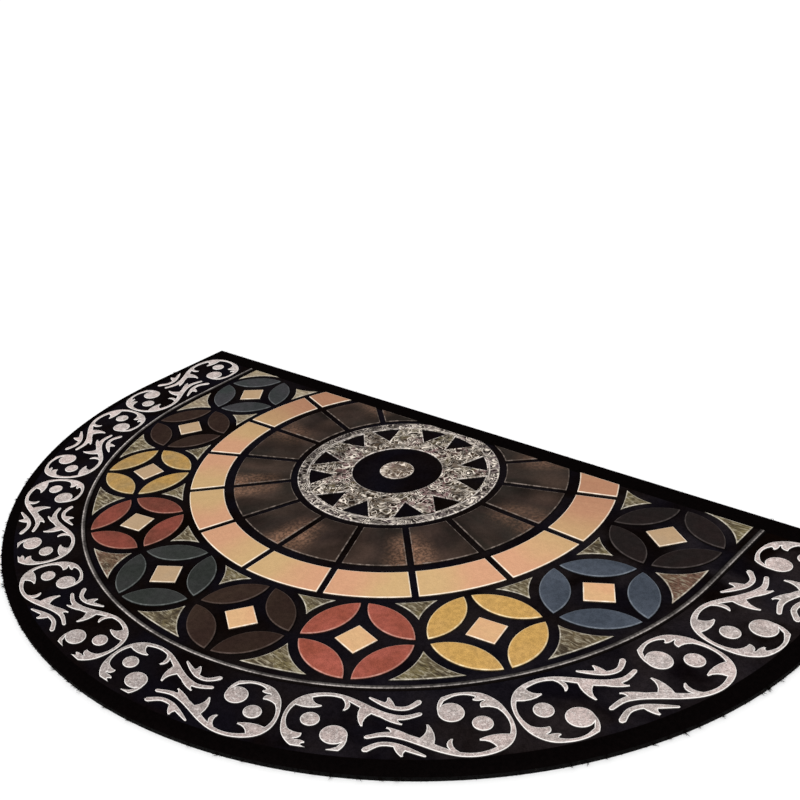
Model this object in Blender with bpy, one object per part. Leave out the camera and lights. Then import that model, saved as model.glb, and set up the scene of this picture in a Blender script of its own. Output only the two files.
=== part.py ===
"""Half-round doormat, moulded in one piece and laid flat.

The slab is D-shaped. Its face carries a raised pattern: a sun medallion, a ring of dark tiles, a ring of light
tiles, a ring of four-petalled rosettes with curved triangles between them, a rib, and a border of leafy scrolls.
X runs along the straight edge, Y towards that edge, Z up. The origin lies under the middle of the mat.

The pattern is laid out on circles round the sun's centre. A pattern point is (across, front): across runs along
the straight edge, and front runs from the centre towards the round edge.
"""

import math

import bmesh
import bpy
from mathutils.geometry import delaunay_2d_cdt

MM = 0.001

# Driving dimensions of the mat
MAT_WIDTH = 0.750
MAT_DEPTH = 0.450
GROUND_HEIGHT = 6.0 * MM
EDGE_HEIGHT = 3.5 * MM
EDGE_SLOPE = 4.5 * MM

# Plan of the outline, before the pattern is pressed to the mat's depth
FRONT_RADIUS = 365.6 * MM
BACK_DEPTH = 110.2 * MM
BACK_BAND = 22.7 * MM
RIM_BAND = 11.5 * MM
PATTERN_LIMIT = BACK_BAND - BACK_DEPTH
DEPTH_SHARE = MAT_DEPTH / (FRONT_RADIUS + BACK_DEPTH)
CENTRE_Y = MAT_DEPTH / 2 - BACK_DEPTH * DEPTH_SHARE

# Sun medallion, with its dark notches in pairs
DOT_RADIUS = 15.8 * MM
DISC_RADIUS = 41.3 * MM
SUN_RADIUS = 92.8 * MM
NOTCH_PAIRS = 6
NOTCH_SPREAD = 13.0
NOTCH_BASE_RADIUS = 81.6 * MM
NOTCH_TIP_RADIUS = 57.6 * MM
NOTCH_HALF_WIDTH = 13.3 * MM

# Tile rings: the joints between tiles follow one pitch, with one joint at the front and this many to each side
TILE_PITCH = 22.0
SIDE_JOINTS = 5
FIRST_JOINT = 90.0 - TILE_PITCH * SIDE_JOINTS
TILE_JOINT = 5.4 * MM
DARK_RING = (99.0 * MM, 152.9 * MM)
LIGHT_RING = (161.9 * MM, 194.5 * MM)

# Rosettes, one between each two joints, and the curved triangles between them
ROSETTE_RING_RADIUS = 244.1 * MM
ROSETTE_RADIUS = 42.5 * MM
PETAL_GAP = 5.5 * MM
PETAL_THICKNESS = 23.0 * MM
SQUARE_SIDE = 22.5 * MM
ROSETTE_CLEARANCE = 49.7 * MM
TRIANGLE_BAND = (201.0 * MM, 286.3 * MM)

# Rib and scroll border. The plain rim band cuts off the outer side of the scrolls in the first pairs.
RIB_RADIUS = 293.7 * MM
RIB_WIDTH = 5.4 * MM
BORDER_INNER_RADIUS = 301.5 * MM
BORDER_LINE_RADIUS = 327.8 * MM
SCROLL_HALF_HEIGHT = 29.5
SCROLL_PAIR_PITCH = 151.0 * MM
SCROLL_PAIRS_PER_SIDE = 4
CUT_PAIRS = 2
CUT_HEIGHT = 25.5

# One scroll of a pair, in millimetres from the middle of the pair: x along the border, y outwards.
# Spine rows are x, y, half width: over the top from the drop, round the curl, and along the bottom to the tail.
SCROLL_SPINE = (
    (-33.5, 24.0, 2.0),
    (-42.0, 27.3, 1.3),
    (-51.5, 27.3, 1.4),
    (-60.5, 23.5, 2.6),
    (-67.5, 15.5, 2.9),
    (-71.8, 6.0, 1.7),
    (-73.0, -4.0, 1.4),
    (-71.0, -13.5, 1.8),
    (-65.5, -21.0, 2.3),
    (-57.0, -26.0, 2.0),
    (-46.5, -28.0, 1.7),
    (-36.0, -26.3, 1.9),
    (-25.5, -21.0, 2.5),
    (-15.0, -14.3, 3.0),
    (-5.0, -9.6, 2.8),
    (6.0, -7.8, 2.1),
    (17.0, -11.0, 1.6),
)
# Lobe rows are the two places on the spine that the lobe stands between, and its tip x, y.
SCROLL_LOBES = (
    (2.6, 3.3, -54.0, 21.0),
    (3.4, 4.5, -57.5, 13.5),
    (7.1, 8.7, -50.5, -15.5),
    (10.9, 11.5, -34.5, -13.0),
    (12.3, 13.1, -21.0, 1.0),
    (13.7, 14.7, 5.0, -1.5),
)
# The side leaf lies under the tail and has one lobe on its outer side.
LEAF_SPINE = (
    (17.0, -22.5, 2.2),
    (9.0, -17.0, 1.9),
    (0.0, -17.2, 1.9),
    (-8.5, -21.5, 1.9),
    (-17.5, -27.0, 0.9),
)
LEAF_LOBES = ((2.0, 2.9, -4.5, -27.5),)
# The berry and the drop are x, y, radius. The drop's round side spans these angles in degrees.
BERRY = (-55.5, -1.5, 6.7)
BERRY_POINTS = 10
DROP = (-37.5, 11.0, 8.9)
DROP_ANGLES = (50.0, 365.0)
DROP_POINTS = 10
TIP_WIDTH = 1.4

# Heights of the raised forms over the ground, and how far their sides lean in
TILE_RAISE = 1.6 * MM
PETAL_RAISE = 1.8 * MM
TRIANGLE_RAISE = 1.2 * MM
SUN_RAISE = 1.2 * MM
RIB_RAISE = 1.4 * MM
SCROLL_RAISE = 1.2 * MM
SIDE_LEAN = 0.7 * MM
RIB_LEAN = 1.0 * MM

# Points along the curves
OUTLINE_STEPS = 72
RIB_STEPS = 56
SUN_STEPS = 56
DISC_STEPS = 28
DOT_STEPS = 14
TILE_STEPS = 4
PETAL_STEPS = 5
TRIANGLE_STEPS = 3

# Colour and roughness of each pile
PILES = {
    "black_pile": ((0.012, 0.010, 0.010), 0.95),
    "mottled_pile": ((0.270, 0.225, 0.180), 0.90),
    "dark_tile_pile": ((0.045, 0.030, 0.023), 0.85),
    "light_tile_pile": ((0.730, 0.450, 0.260), 0.85),
    "blue_pile": ((0.070, 0.085, 0.120), 0.90),
    "brown_pile": ((0.042, 0.026, 0.022), 0.90),
    "yellow_pile": ((0.680, 0.400, 0.100), 0.85),
    "red_pile": ((0.360, 0.080, 0.055), 0.85),
    "teal_pile": ((0.040, 0.055, 0.052), 0.90),
    "olive_pile": ((0.230, 0.200, 0.120), 0.90),
    "rib_pile": ((0.130, 0.100, 0.090), 0.80),
    "scroll_pile": ((0.520, 0.440, 0.420), 0.90),
}
# The rosettes' piles, from the right-hand side round the front
ROSETTE_PILES = (
    "brown_pile",
    "blue_pile",
    "yellow_pile",
    "red_pile",
    "brown_pile",
    "teal_pile",
    "red_pile",
    "yellow_pile",
    "brown_pile",
    "blue_pile",
)


def polar(radius, angle):
    """The pattern point at an angle in degrees from the across axis, counted towards the front."""
    turn = math.radians(angle)
    return (radius * math.cos(turn), radius * math.sin(turn))


def arc(radius, start, end, steps, centre=(0.0, 0.0)):
    """Points on an arc round a centre, with both ends. Angles are in degrees."""
    points = []
    for i in range(steps + 1):
        across, front = polar(radius, start + (end - start) * i / steps)
        points.append((centre[0] + across, centre[1] + front))
    return points


def disc(radius, steps, centre=(0.0, 0.0)):
    """A round outline about a centre."""
    return arc(radius, 0, 360, steps, centre)[:-1]


def bowed(start, end, bow, steps):
    """Points of a round arc from start to end, without the end. Its middle stands bow to the left of the chord."""
    chord_x, chord_y = end[0] - start[0], end[1] - start[1]
    chord = math.hypot(chord_x, chord_y)
    radius = (chord * chord / 4 + bow * bow) / (2 * abs(bow))
    points = []
    for i in range(steps):
        share = i / steps
        along = (share - 0.5) * chord
        height = math.sqrt(radius * radius - along * along) - radius + abs(bow)
        lift = math.copysign(height, bow) / chord
        points.append((start[0] + chord_x * share - chord_y * lift, start[1] + chord_y * share + chord_x * lift))
    return points


def arc_bow(radius, chord):
    """How far an arc of this radius stands off its chord."""
    return radius - math.sqrt(radius**2 - chord**2 / 4)


def mirrored(outline):
    """The same outline on the other side of the mat."""
    return [(-across, front) for across, front in reversed(outline)]


def ring_tile(ring, start, end):
    """A tile between two joints of a ring. The joints are equally wide all along."""
    inner, outer = ring
    inner_gap = math.degrees(TILE_JOINT / 2 / inner)
    outer_gap = math.degrees(TILE_JOINT / 2 / outer)
    outer_side = arc(outer, start + outer_gap, end - outer_gap, TILE_STEPS)
    inner_side = arc(inner, end - inner_gap, start + inner_gap, TILE_STEPS)
    return outer_side + inner_side


def sun_notch(angle):
    """A dark triangle in the sun, with its tip towards the centre."""
    half = math.degrees(NOTCH_HALF_WIDTH / NOTCH_BASE_RADIUS)
    return arc(NOTCH_BASE_RADIUS, angle - half, angle + half, 2) + [polar(NOTCH_TIP_RADIUS, angle)]


def petal(centre, angle):
    """A lens between the rosette's round outline and a mirrored arc."""
    half = 45 - math.degrees(PETAL_GAP / 2 / ROSETTE_RADIUS)
    start, end = arc(ROSETTE_RADIUS, angle - half, angle + half, 1, centre)
    outer_bow = ROSETTE_RADIUS * (1 - math.cos(math.radians(half)))
    inner_bow = PETAL_THICKNESS - outer_bow
    return bowed(start, end, -outer_bow, PETAL_STEPS) + bowed(end, start, -inner_bow, PETAL_STEPS)


def curved_triangle(middle, side):
    """The piece between two rosettes and a ring: side is 1 outside the rosettes and -1 inside them."""
    ring = TRIANGLE_BAND[1] if side > 0 else TRIANGLE_BAND[0]
    half = TILE_PITCH / 2
    clear = ROSETTE_CLEARANCE
    far = ROSETTE_RING_RADIUS * math.cos(math.radians(half))
    across = ROSETTE_RING_RADIUS * math.sin(math.radians(half))
    spread = (ring**2 + ROSETTE_RING_RADIUS**2 - clear**2) / (2 * ring * ROSETTE_RING_RADIUS)
    reach = half - math.degrees(math.acos(spread))
    base = arc(ring, middle - reach, middle + reach, TRIANGLE_STEPS)
    tip = polar(far + side * math.sqrt(clear**2 - across**2), middle)
    bow = side * arc_bow(clear, math.dist(base[-1], tip))
    return base[:-1] + bowed(base[-1], tip, bow, TRIANGLE_STEPS) + bowed(tip, base[0], bow, TRIANGLE_STEPS)


def corner_triangle():
    """The piece in the corner between the last rosette, the rib and the band of the straight edge."""
    across, front = polar(ROSETTE_RING_RADIUS, FIRST_JOINT + TILE_PITCH / 2)
    side = TRIANGLE_BAND[1]
    on_side = (side, front - math.sqrt(ROSETTE_CLEARANCE**2 - (side - across) ** 2))
    on_band = (across + math.sqrt(ROSETTE_CLEARANCE**2 - (PATTERN_LIMIT - front) ** 2), PATTERN_LIMIT)
    bow = arc_bow(ROSETTE_CLEARANCE, math.dist(on_side, on_band))
    return [on_band, (side, PATTERN_LIMIT)] + bowed(on_side, on_band, bow, TRIANGLE_STEPS)


def outline_radius(angle, inset):
    """Distance of the round edge from the sun's centre, at an angle in degrees from the front."""
    turn = math.radians(angle)
    wide = abs(math.sin(turn)) / (MAT_WIDTH / 2 - inset)
    deep = abs(math.cos(turn)) / (FRONT_RADIUS - inset)
    return 1 / math.hypot(wide, deep)


def mat_outline(inset):
    """The mat's outline: a round front, short straight sides and a straight edge at the back."""
    half = MAT_WIDTH / 2 - inset
    back = inset - BACK_DEPTH
    front = []
    for i in range(OUTLINE_STEPS + 1):
        angle = 180 * i / OUTLINE_STEPS
        front.append(polar(outline_radius(90 - angle, inset), angle))
    return [(half, back)] + front + [(-half, back)]


def rib_outline():
    """The rib follows the round edge and runs straight along both sides."""
    sides = []
    for radius in (RIB_RADIUS + RIB_WIDTH / 2, RIB_RADIUS - RIB_WIDTH / 2):
        sides.append([(radius, PATTERN_LIMIT)] + arc(radius, 0, 180, RIB_STEPS) + [(-radius, PATTERN_LIMIT)])
    return sides[0] + sides[1][::-1]


def smooth_value(before, here, after, beyond, share):
    """A value between here and after, on a smooth curve through all four."""
    slope = (after - before) / 2
    last_slope = (beyond - here) / 2
    bend = 3 * (after - here) - 2 * slope - last_slope
    twist = 2 * (here - after) + slope + last_slope
    return here + share * (slope + share * (bend + share * twist))


def spine_row(spine, place):
    """The x, y and half width of a spine at a place, which counts its rows."""
    last = len(spine) - 1
    i = min(max(int(place), 0), last - 1)
    rows = (spine[max(i - 1, 0)], spine[i], spine[i + 1], spine[min(i + 2, last)])
    return [smooth_value(*values, place - i) for values in zip(*rows)]


def spine_side(spine, place, side):
    """A point on one side of a leafy ribbon, where side is 1 on the left and -1 on the right."""
    nudge = 0.05
    x, y, half = spine_row(spine, place)
    ahead, behind = spine_row(spine, place + nudge), spine_row(spine, place - nudge)
    run_x, run_y = ahead[0] - behind[0], ahead[1] - behind[1]
    run = math.hypot(run_x, run_y)
    return (x - side * half * run_y / run, y + side * half * run_x / run)


def leafy_ribbon(spine, lobes):
    """Outline of a ribbon with lobes on its left side, each between two places on the spine."""
    places = range(len(spine))
    right = [spine_side(spine, place, -1) for place in places]
    left = []
    reached = -1.0
    for start, end, tip_x, tip_y in lobes:
        left += [spine_side(spine, place, 1) for place in places if reached < place < start]
        root, foot = spine_side(spine, start, 1), spine_side(spine, end, 1)
        out_x, out_y = tip_x - (root[0] + foot[0]) / 2, tip_y - (root[1] + foot[1]) / 2
        half = TIP_WIDTH / 2 / math.hypot(out_x, out_y)
        near, far = (tip_x - out_y * half, tip_y + out_x * half), (tip_x + out_y * half, tip_y - out_x * half)
        left += [root, near, far, foot]
        reached = end
    left += [spine_side(spine, place, 1) for place in places if place > reached]
    return right + left[::-1]


def scroll_outlines():
    """The leafy scroll with its drop, its side leaf and its berry, in the pair's own millimetres."""
    drop_x, drop_y, drop_radius = DROP
    berry_x, berry_y, berry_radius = BERRY
    drop = arc(drop_radius, *DROP_ANGLES, DROP_POINTS, (drop_x, drop_y))
    return [
        leafy_ribbon(SCROLL_SPINE, SCROLL_LOBES) + drop,
        leafy_ribbon(LEAF_SPINE, LEAF_LOBES),
        disc(berry_radius, BERRY_POINTS, (berry_x, berry_y)),
    ]


def on_border(point, pair, turned, side):
    """The pattern point of a scroll's point. Pairs are counted from the front, and turned is the second scroll."""
    x, y = (-point[0], -point[1]) if turned else point
    along = (pair + 0.5) * SCROLL_PAIR_PITCH + x * MM
    quarter = BORDER_LINE_RADIUS * math.pi / 2
    angle = min(along, quarter) / BORDER_LINE_RADIUS
    outer = outline_radius(math.degrees(angle), 0) - RIM_BAND
    middle = (outer + BORDER_INNER_RADIUS) / 2
    radius = middle + y * (outer - middle) / SCROLL_HALF_HEIGHT
    straight = max(along - quarter, 0)
    return (side * radius * math.sin(angle), radius * math.cos(angle) - straight)


def tile_shapes():
    """Both rings of tiles, past the straight edge on each side."""
    shapes = []
    for k in range(-2, 2 * SIDE_JOINTS + 2):
        start = FIRST_JOINT + TILE_PITCH * k
        shapes.append((ring_tile(LIGHT_RING, start, start + TILE_PITCH), "light_tile_pile", TILE_RAISE, SIDE_LEAN))
        shapes.append((ring_tile(DARK_RING, start, start + TILE_PITCH), "dark_tile_pile", TILE_RAISE, SIDE_LEAN))
    return shapes


def sun_shapes():
    """The sun, its dark notches, and the dark disc and light dot in its middle."""
    shapes = [
        (disc(SUN_RADIUS, SUN_STEPS), "mottled_pile", SUN_RAISE, SIDE_LEAN),
        (disc(DISC_RADIUS, DISC_STEPS), "black_pile", 0.0, 0.0),
        (disc(DOT_RADIUS, DOT_STEPS), "mottled_pile", SUN_RAISE, SIDE_LEAN),
    ]
    for k in range(NOTCH_PAIRS):
        middle = 90 + 360 / NOTCH_PAIRS * k
        for angle in (middle - NOTCH_SPREAD, middle + NOTCH_SPREAD):
            shapes.append((sun_notch(angle), "black_pile", 0.0, 0.0))
    return shapes


def rosette_shapes():
    """The rosettes, each with four petals and a square whose corners point at them."""
    shapes = []
    for k, pile in enumerate(ROSETTE_PILES):
        angle = FIRST_JOINT + TILE_PITCH * (k + 0.5)
        centre = polar(ROSETTE_RING_RADIUS, angle)
        for quarter in range(4):
            shapes.append((petal(centre, angle + 45 + 90 * quarter), pile, PETAL_RAISE, SIDE_LEAN))
        square = arc(SQUARE_SIDE / math.sqrt(2), angle, angle + 270, 3, centre)
        shapes.append((square, "light_tile_pile", PETAL_RAISE, SIDE_LEAN))
    return shapes


def triangle_shapes():
    """The curved triangles between the rosettes, and the one in each back corner."""
    outlines = [curved_triangle(FIRST_JOINT + TILE_PITCH * k, -1) for k in range(2 * SIDE_JOINTS + 1)]
    outlines += [curved_triangle(FIRST_JOINT + TILE_PITCH * k, 1) for k in range(1, 2 * SIDE_JOINTS)]
    outlines += [corner_triangle(), mirrored(corner_triangle())]
    return [(outline, "olive_pile", TRIANGLE_RAISE, SIDE_LEAN) for outline in outlines]


def cut_off(outline, limit, way):
    """What is left of an outline, as a list: way is 1 where all past the limit goes, and -1 where all before it."""
    bm = bmesh.new()
    bm.faces.new([bm.verts.new((*point, 0)) for point in outline])
    bm.normal_update()
    everything = bm.verts[:] + bm.edges[:] + bm.faces[:]
    bmesh.ops.bisect_plane(
        bm, geom=everything, dist=0.001 * MM, plane_co=(0, limit, 0), plane_no=(0, way, 0), clear_outer=True
    )
    left = [[tuple(vert.co.xy) for vert in face.verts] for face in bm.faces]
    bm.free()
    return left


def scroll_shapes():
    """The scroll border: pairs of scrolls, the second turned half round, on both sides of the front."""
    whole = scroll_outlines()
    cut = [part for outline in whole for part in cut_off(outline, CUT_HEIGHT, 1)]
    shapes = []
    for pair in range(SCROLL_PAIRS_PER_SIDE):
        for turned in (False, True):
            for outline in cut if pair < CUT_PAIRS and not turned else whole:
                for side in (-1, 1):
                    loop = [on_border(point, pair, turned, side) for point in outline]
                    shapes.append((loop, "scroll_pile", SCROLL_RAISE, 0.0))
    return shapes


def pattern_shapes():
    """Every form of the pattern as (outline, pile, raise, lean). A later one lies on top of an earlier one."""
    shapes = tile_shapes() + sun_shapes() + rosette_shapes() + triangle_shapes()
    shapes.append((rib_outline(), "rib_pile", RIB_RAISE, RIB_LEAN))
    shapes += scroll_shapes()
    kept = []
    for outline, pile, height, lean in shapes:
        for inside in cut_off(outline, PATTERN_LIMIT, -1):
            kept.append((inside, pile, height, lean))
    return kept


def placed(point):
    """A pattern point as X and Y on the mat, pressed to the mat's depth."""
    return (point[0], CENTRE_Y - point[1] * DEPTH_SHARE)


def turned_left(points):
    """The outline in the direction that has its inside on the left."""
    area = sum(a[0] * b[1] - b[0] * a[1] for a, b in zip(points, points[1:] + points[:1]))
    return points if area > 0 else points[::-1]


def flat_face(bm, outlines):
    """The face as a flat sheet cut along every outline, with its faces listed by the last outline they lie in."""
    points, loops = [], []
    for outline in outlines:
        loop = turned_left([placed(point) for point in outline])
        loops.append(list(range(len(points), len(points) + len(loop))))
        points += loop
    tolerance = 0.0001 * MM
    corners, _, triangles, _, _, owners = delaunay_2d_cdt(points, [], loops, 1, tolerance)

    verts = [bm.verts.new((*corner, GROUND_HEIGHT)) for corner in corners]
    faces = {}
    for triangle, owner in zip(triangles, owners):
        face = bm.faces.new([verts[i] for i in triangle])
        faces.setdefault(max(owner), []).append(face)
    bm.normal_update()
    return faces


def raise_faces(bm, faces, height, lean):
    """Lifts faces over the ground, with sides that lean in or stand upright."""
    if lean:
        bmesh.ops.inset_region(bm, faces=faces, thickness=lean, depth=height, use_even_offset=True)
        return
    lifted = bmesh.ops.extrude_face_region(bm, geom=faces)["geom"]
    tops = [item for item in lifted if isinstance(item, bmesh.types.BMVert)]
    bmesh.ops.translate(bm, verts=tops, vec=(0, 0, height))
    bmesh.ops.delete(bm, geom=faces, context="FACES_ONLY")


def close_body(bm):
    """Drops the sheet's rim to the floor and closes the underside with one face."""
    rim = [edge for edge in bm.edges if edge.is_boundary]
    skirt = bmesh.ops.extrude_edge_only(bm, edges=rim)["geom"]
    for item in skirt:
        if isinstance(item, bmesh.types.BMVert):
            item.co.z = 0
    bmesh.ops.contextual_create(bm, geom=[item for item in skirt if isinstance(item, bmesh.types.BMEdge)])
    bmesh.ops.recalc_face_normals(bm, faces=bm.faces)


def pile_material(name, colour, roughness):
    """A matt pile of one colour."""
    material = bpy.data.materials.new(name)
    material.use_nodes = True
    shader = material.node_tree.nodes["Principled BSDF"]
    shader.inputs["Base Color"].default_value = (*colour, 1.0)
    shader.inputs["Roughness"].default_value = roughness
    shader.inputs["Metallic"].default_value = 0.0
    material.diffuse_color = (*colour, 1.0)
    return material


def make_mat():
    """The mat as one closed body."""
    shapes = [(mat_outline(0), "black_pile", 0.0, 0.0), (mat_outline(EDGE_SLOPE), "black_pile", 0.0, 0.0)]
    shapes += pattern_shapes()
    bm = bmesh.new()
    faces = flat_face(bm, [shape[0] for shape in shapes])
    for vert in bm.verts:
        if vert.is_boundary:
            vert.co.z = EDGE_HEIGHT

    pile_names = list(PILES)
    raised = {}
    for index, group in faces.items():
        _, pile, height, lean = shapes[index]
        for face in group:
            face.material_index = pile_names.index(pile)
        if height:
            raised.setdefault((height, lean), []).extend(group)
    for (height, lean), group in raised.items():
        raise_faces(bm, group, height, lean)
    close_body(bm)

    mesh = bpy.data.meshes.new("mat")
    bm.to_mesh(mesh)
    bm.free()
    for name, (colour, roughness) in PILES.items():
        mesh.materials.append(pile_material(name, colour, roughness))
    mat = bpy.data.objects.new("mat", mesh)
    bpy.context.scene.collection.objects.link(mat)
    return mat


for old in list(bpy.data.objects):
    bpy.data.objects.remove(old, do_unlink=True)
make_mat()
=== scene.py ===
"""Half-round pile doormat, laid flat, with its pattern raised out of a black ground.

The pattern is drawn in plan millimetres round the middle of the sun: x to the right along the straight edge,
y towards that edge, z up from the floor. Angles are in degrees from the front, and grow towards the right.
The last step of each piece presses the plan to the mat's real width and depth and turns it into metres.
"""

import math
import random

import bmesh
import bpy
from bmesh.types import BMEdge, BMFace, BMVert
from mathutils import Matrix, Vector


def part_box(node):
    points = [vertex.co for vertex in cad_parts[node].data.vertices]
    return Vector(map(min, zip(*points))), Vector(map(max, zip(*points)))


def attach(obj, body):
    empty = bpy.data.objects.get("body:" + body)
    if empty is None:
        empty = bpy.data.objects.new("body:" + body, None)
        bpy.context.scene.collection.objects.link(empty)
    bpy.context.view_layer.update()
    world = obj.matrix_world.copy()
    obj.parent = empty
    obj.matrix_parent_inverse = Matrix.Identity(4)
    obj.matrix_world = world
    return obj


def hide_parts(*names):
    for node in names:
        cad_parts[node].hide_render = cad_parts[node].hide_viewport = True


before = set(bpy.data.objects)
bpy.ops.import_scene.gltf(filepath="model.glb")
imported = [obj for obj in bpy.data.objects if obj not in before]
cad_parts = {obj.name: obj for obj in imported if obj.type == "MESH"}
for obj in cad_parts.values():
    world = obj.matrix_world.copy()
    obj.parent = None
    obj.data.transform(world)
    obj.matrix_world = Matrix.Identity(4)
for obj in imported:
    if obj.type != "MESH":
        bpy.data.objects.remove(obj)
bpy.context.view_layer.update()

bl_info = {
    "name": "Half-Round Doormat",
    "version": (1, 0, 0),
    "blender": (4, 5, 0),
    "location": "View3D > Sidebar > Doormat",
    "description": "Builds a half-round pile doormat with a raised pattern, and a plain studio round it",
    "category": "Add Mesh",
}

MM = 0.001
CAD_LOW, CAD_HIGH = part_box("mat")

# Plan of the mat, in plan millimetres
PLAN_WIDTH = 750.0
FRONT_RADIUS = 365.6
BACK_DEPTH = 110.2
PLAN_DEPTH = FRONT_RADIUS + BACK_DEPTH
BACK_BAND = 22.7
RIM_BAND = 11.5
PATTERN_LIMIT = BACK_DEPTH - BACK_BAND
FIELD_FADE = 0.4
SUNK = 0.5

# Sun medallion, with its dark notches in pairs
DOT_RADIUS = 15.8
DISC_RADIUS = 41.3
SUN_RADIUS = 92.8
NOTCH_PAIRS = 6
NOTCH_SPREAD = 13.0
NOTCH_BASE_RADIUS = 81.6
NOTCH_TIP_RADIUS = 57.6
NOTCH_HALF_WIDTH = 13.3
SUN_LINE_RADIUS = 83.8
SUN_LINE_WIDTH = 1.5

# Tile rings, with one joint at the front
TILE_PITCH = 22.0
RING_TILES = 14
TILE_JOINT = 5.4
DARK_RING = (99.0, 152.9)
LIGHT_RING = (161.9, 194.5)

# Rosettes, and the curved triangles between them
ROSETTE_COUNT = 10
ROSETTE_RING_RADIUS = 244.1
ROSETTE_RADIUS = 42.5
PETAL_GAP = 5.5
PETAL_THICKNESS = 23.0
SQUARE_SIDE = 22.5
ROSETTE_CLEARANCE = 49.7
TRIANGLE_BAND = (201.0, 286.3)
BROWN_TRIANGLES = (-22.0, 88.0)
TRIANGLE_SEED = 11

# Rib and scroll border
RIB_RADIUS = 293.7
BORDER_INNER_RADIUS = 301.5
BORDER_LINE_RADIUS = 327.8
SCROLL_HALF_HEIGHT = 29.5
SCROLL_PAIR_PITCH = 151.0
SCROLL_PAIRS_PER_SIDE = 4
CUT_PAIRS = 2
CUT_HEIGHT = 25.5

# One scroll of a pair, from the middle of the pair: x along the border, y outwards.
# Spine rows are x, y, half width: over the top from the drop, round the curl, then along the bottom to
# the tail.
SCROLL_SPINE = (
    (-33.5, 24.0, 2.0),
    (-42.0, 27.3, 1.3),
    (-51.5, 27.3, 1.4),
    (-60.5, 23.5, 2.6),
    (-67.5, 15.5, 2.9),
    (-71.8, 6.0, 1.7),
    (-73.0, -4.0, 1.4),
    (-71.0, -13.5, 1.8),
    (-65.5, -21.0, 2.3),
    (-57.0, -26.0, 2.0),
    (-46.5, -28.0, 1.7),
    (-36.0, -26.3, 1.9),
    (-25.5, -21.0, 2.5),
    (-15.0, -14.3, 3.0),
    (-5.0, -9.6, 2.8),
    (6.0, -7.8, 2.1),
    (17.0, -11.0, 1.6),
)
# Lobe rows are the two places on the spine that the lobe stands between, its tip x, y, and how far it bows.
SCROLL_LOBES = (
    (2.6, 3.3, -54.0, 21.0, -0.6),
    (3.4, 4.5, -57.5, 13.5, 1.2),
    (7.1, 8.7, -50.5, -15.5, 1.8),
    (10.9, 11.5, -34.5, -13.0, -2.0),
    (12.3, 13.1, -21.0, 1.0, 1.8),
    (13.7, 14.7, 5.0, -1.5, 0.8),
)
LEAF_SPINE = (
    (17.0, -22.5, 2.2),
    (9.0, -17.0, 1.9),
    (0.0, -17.2, 1.9),
    (-8.5, -21.5, 1.9),
    (-17.5, -27.0, 0.9),
)
LEAF_LOBES = ((2.0, 2.9, -4.5, -27.5, 0.6),)
BERRY = (-55.5, -1.5, 6.7)
DROP = (-37.5, 11.0, 8.9)
DROP_ANGLES = (50.0, 365.0)
DROP_BOW = -1.5
TIP_WIDTH = 1.4
ROUND_SHARE = 0.95
DROP_STEPS = 8

# Steps along the curves
OUTLINE_STEPS = 144
SUN_STEPS = 120
DISC_STEPS = 72
DOT_STEPS = 48
NOTCH_STEPS = 4
TILE_STEPS = 8
PETAL_STEPS = 14
TRIANGLE_STEPS = 8
RIB_STEPS = 120
SCROLL_STEPS = 4
BERRY_STEPS = 24

# How close to a cut a point counts as on it, and how close two points count as one
TOLERANCE = 0.001
MERGE_DISTANCE = 0.01

# Rows of a raised form from its upright side to its crown: how far in, how far up, and how strong its painted
# edge highlight is
TILE_ROWS = ((0.2, 0.35, 1.0), (0.3, 0.25, 1.0), (0.6, 0.08, 0.0))
PETAL_ROWS = ((0.3, 0.4, 1.0), (0.3, 0.25, 0.9), (0.6, 0.1, 0.0))
PETAL_CROWN = ((0.82, 0.08), (0.6, 0.04))
TRIANGLE_ROWS = ((0.25, 0.3, 1.0), (0.3, 0.15, 0.9), (0.6, 0.05, 0.0))
SUN_ROWS = ((0.25, 0.3, 1.0), (0.35, 0.15, 1.0), (0.6, 0.05, 0.0))
SCROLL_ROWS = ((0.15, 0.35, 1.0), (0.3, 0.1, 1.0), (0.15, 0.05, 0.0))
RIM_ROWS = ((0.5, 0.75), (0.9, 0.7), (1.3, 0.6), (1.8, 0.45))
# Section of the rib from its outer to its inner side: offset, height over the ground, and how strong its
# painted highlight is
RIB_SECTION = (
    (-2.7, -0.5, 0.0),
    (-2.6, 0.5, 0.0),
    (-2.1, 1.1, 0.0),
    (-1.5, 1.35, 0.0),
    (-1.1, 1.4, 1.0),
    (-0.6, 1.4, 1.0),
    (-0.2, 1.35, 0.3),
    (0.8, 1.3, 0.17),
    (1.5, 1.25, 0.12),
    (1.9, 1.15, 0.0),
    (2.6, 0.5, 0.0),
    (2.7, -0.5, 0.0),
)

# The way round the rim counts 0 at the front, 1 at a back corner, which stands at this angle, and most at the
# middle of the straight edge
CORNER_ANGLE = 106.5
WAY_ROUND = 1.5

# Stray fibres: radii at the root and the tip, how deep the root sits, and how many stand in a tuft
FIBRE_RADII = (0.28, 0.06)
FIBRE_ROOT = 0.5
TUFT_FIBRES = 8
FIBRE_SEED = 27

# Studio: the floor, the light from the sky and from one soft lamp
FLOOR_HALF = 15.0
FLOOR_COLOUR = (0.96, 0.96, 0.96)
FLOOR_TONES = ((0.965, 0.965, 0.965), (0.975, 0.975, 0.975))
SKY_LIGHT = 0.58
KEY_STRENGTH = 2.2
KEY_SOFTNESS = 50.0
KEY_AIM = (-0.1, 0.6, -0.7)

# The camera stands where the photo was taken from
CAMERA_PLACE = (0.54238, -0.43437, 0.45161)
CAMERA_TURN = (59.9006, 7.2175, 45.322)
CAMERA_LENS = 44.653
CAMERA_SHIFT = 0.1


def display(red, green, blue):
    """A colour as a screen shows it, from 0 to 255, turned into the values that shaders use."""
    values = []
    for level in (red, green, blue):
        share = level / 255
        values.append(share / 12.92 if share <= 0.04045 else ((share + 0.055) / 1.055) ** 2.4)
    return tuple(values)


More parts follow.
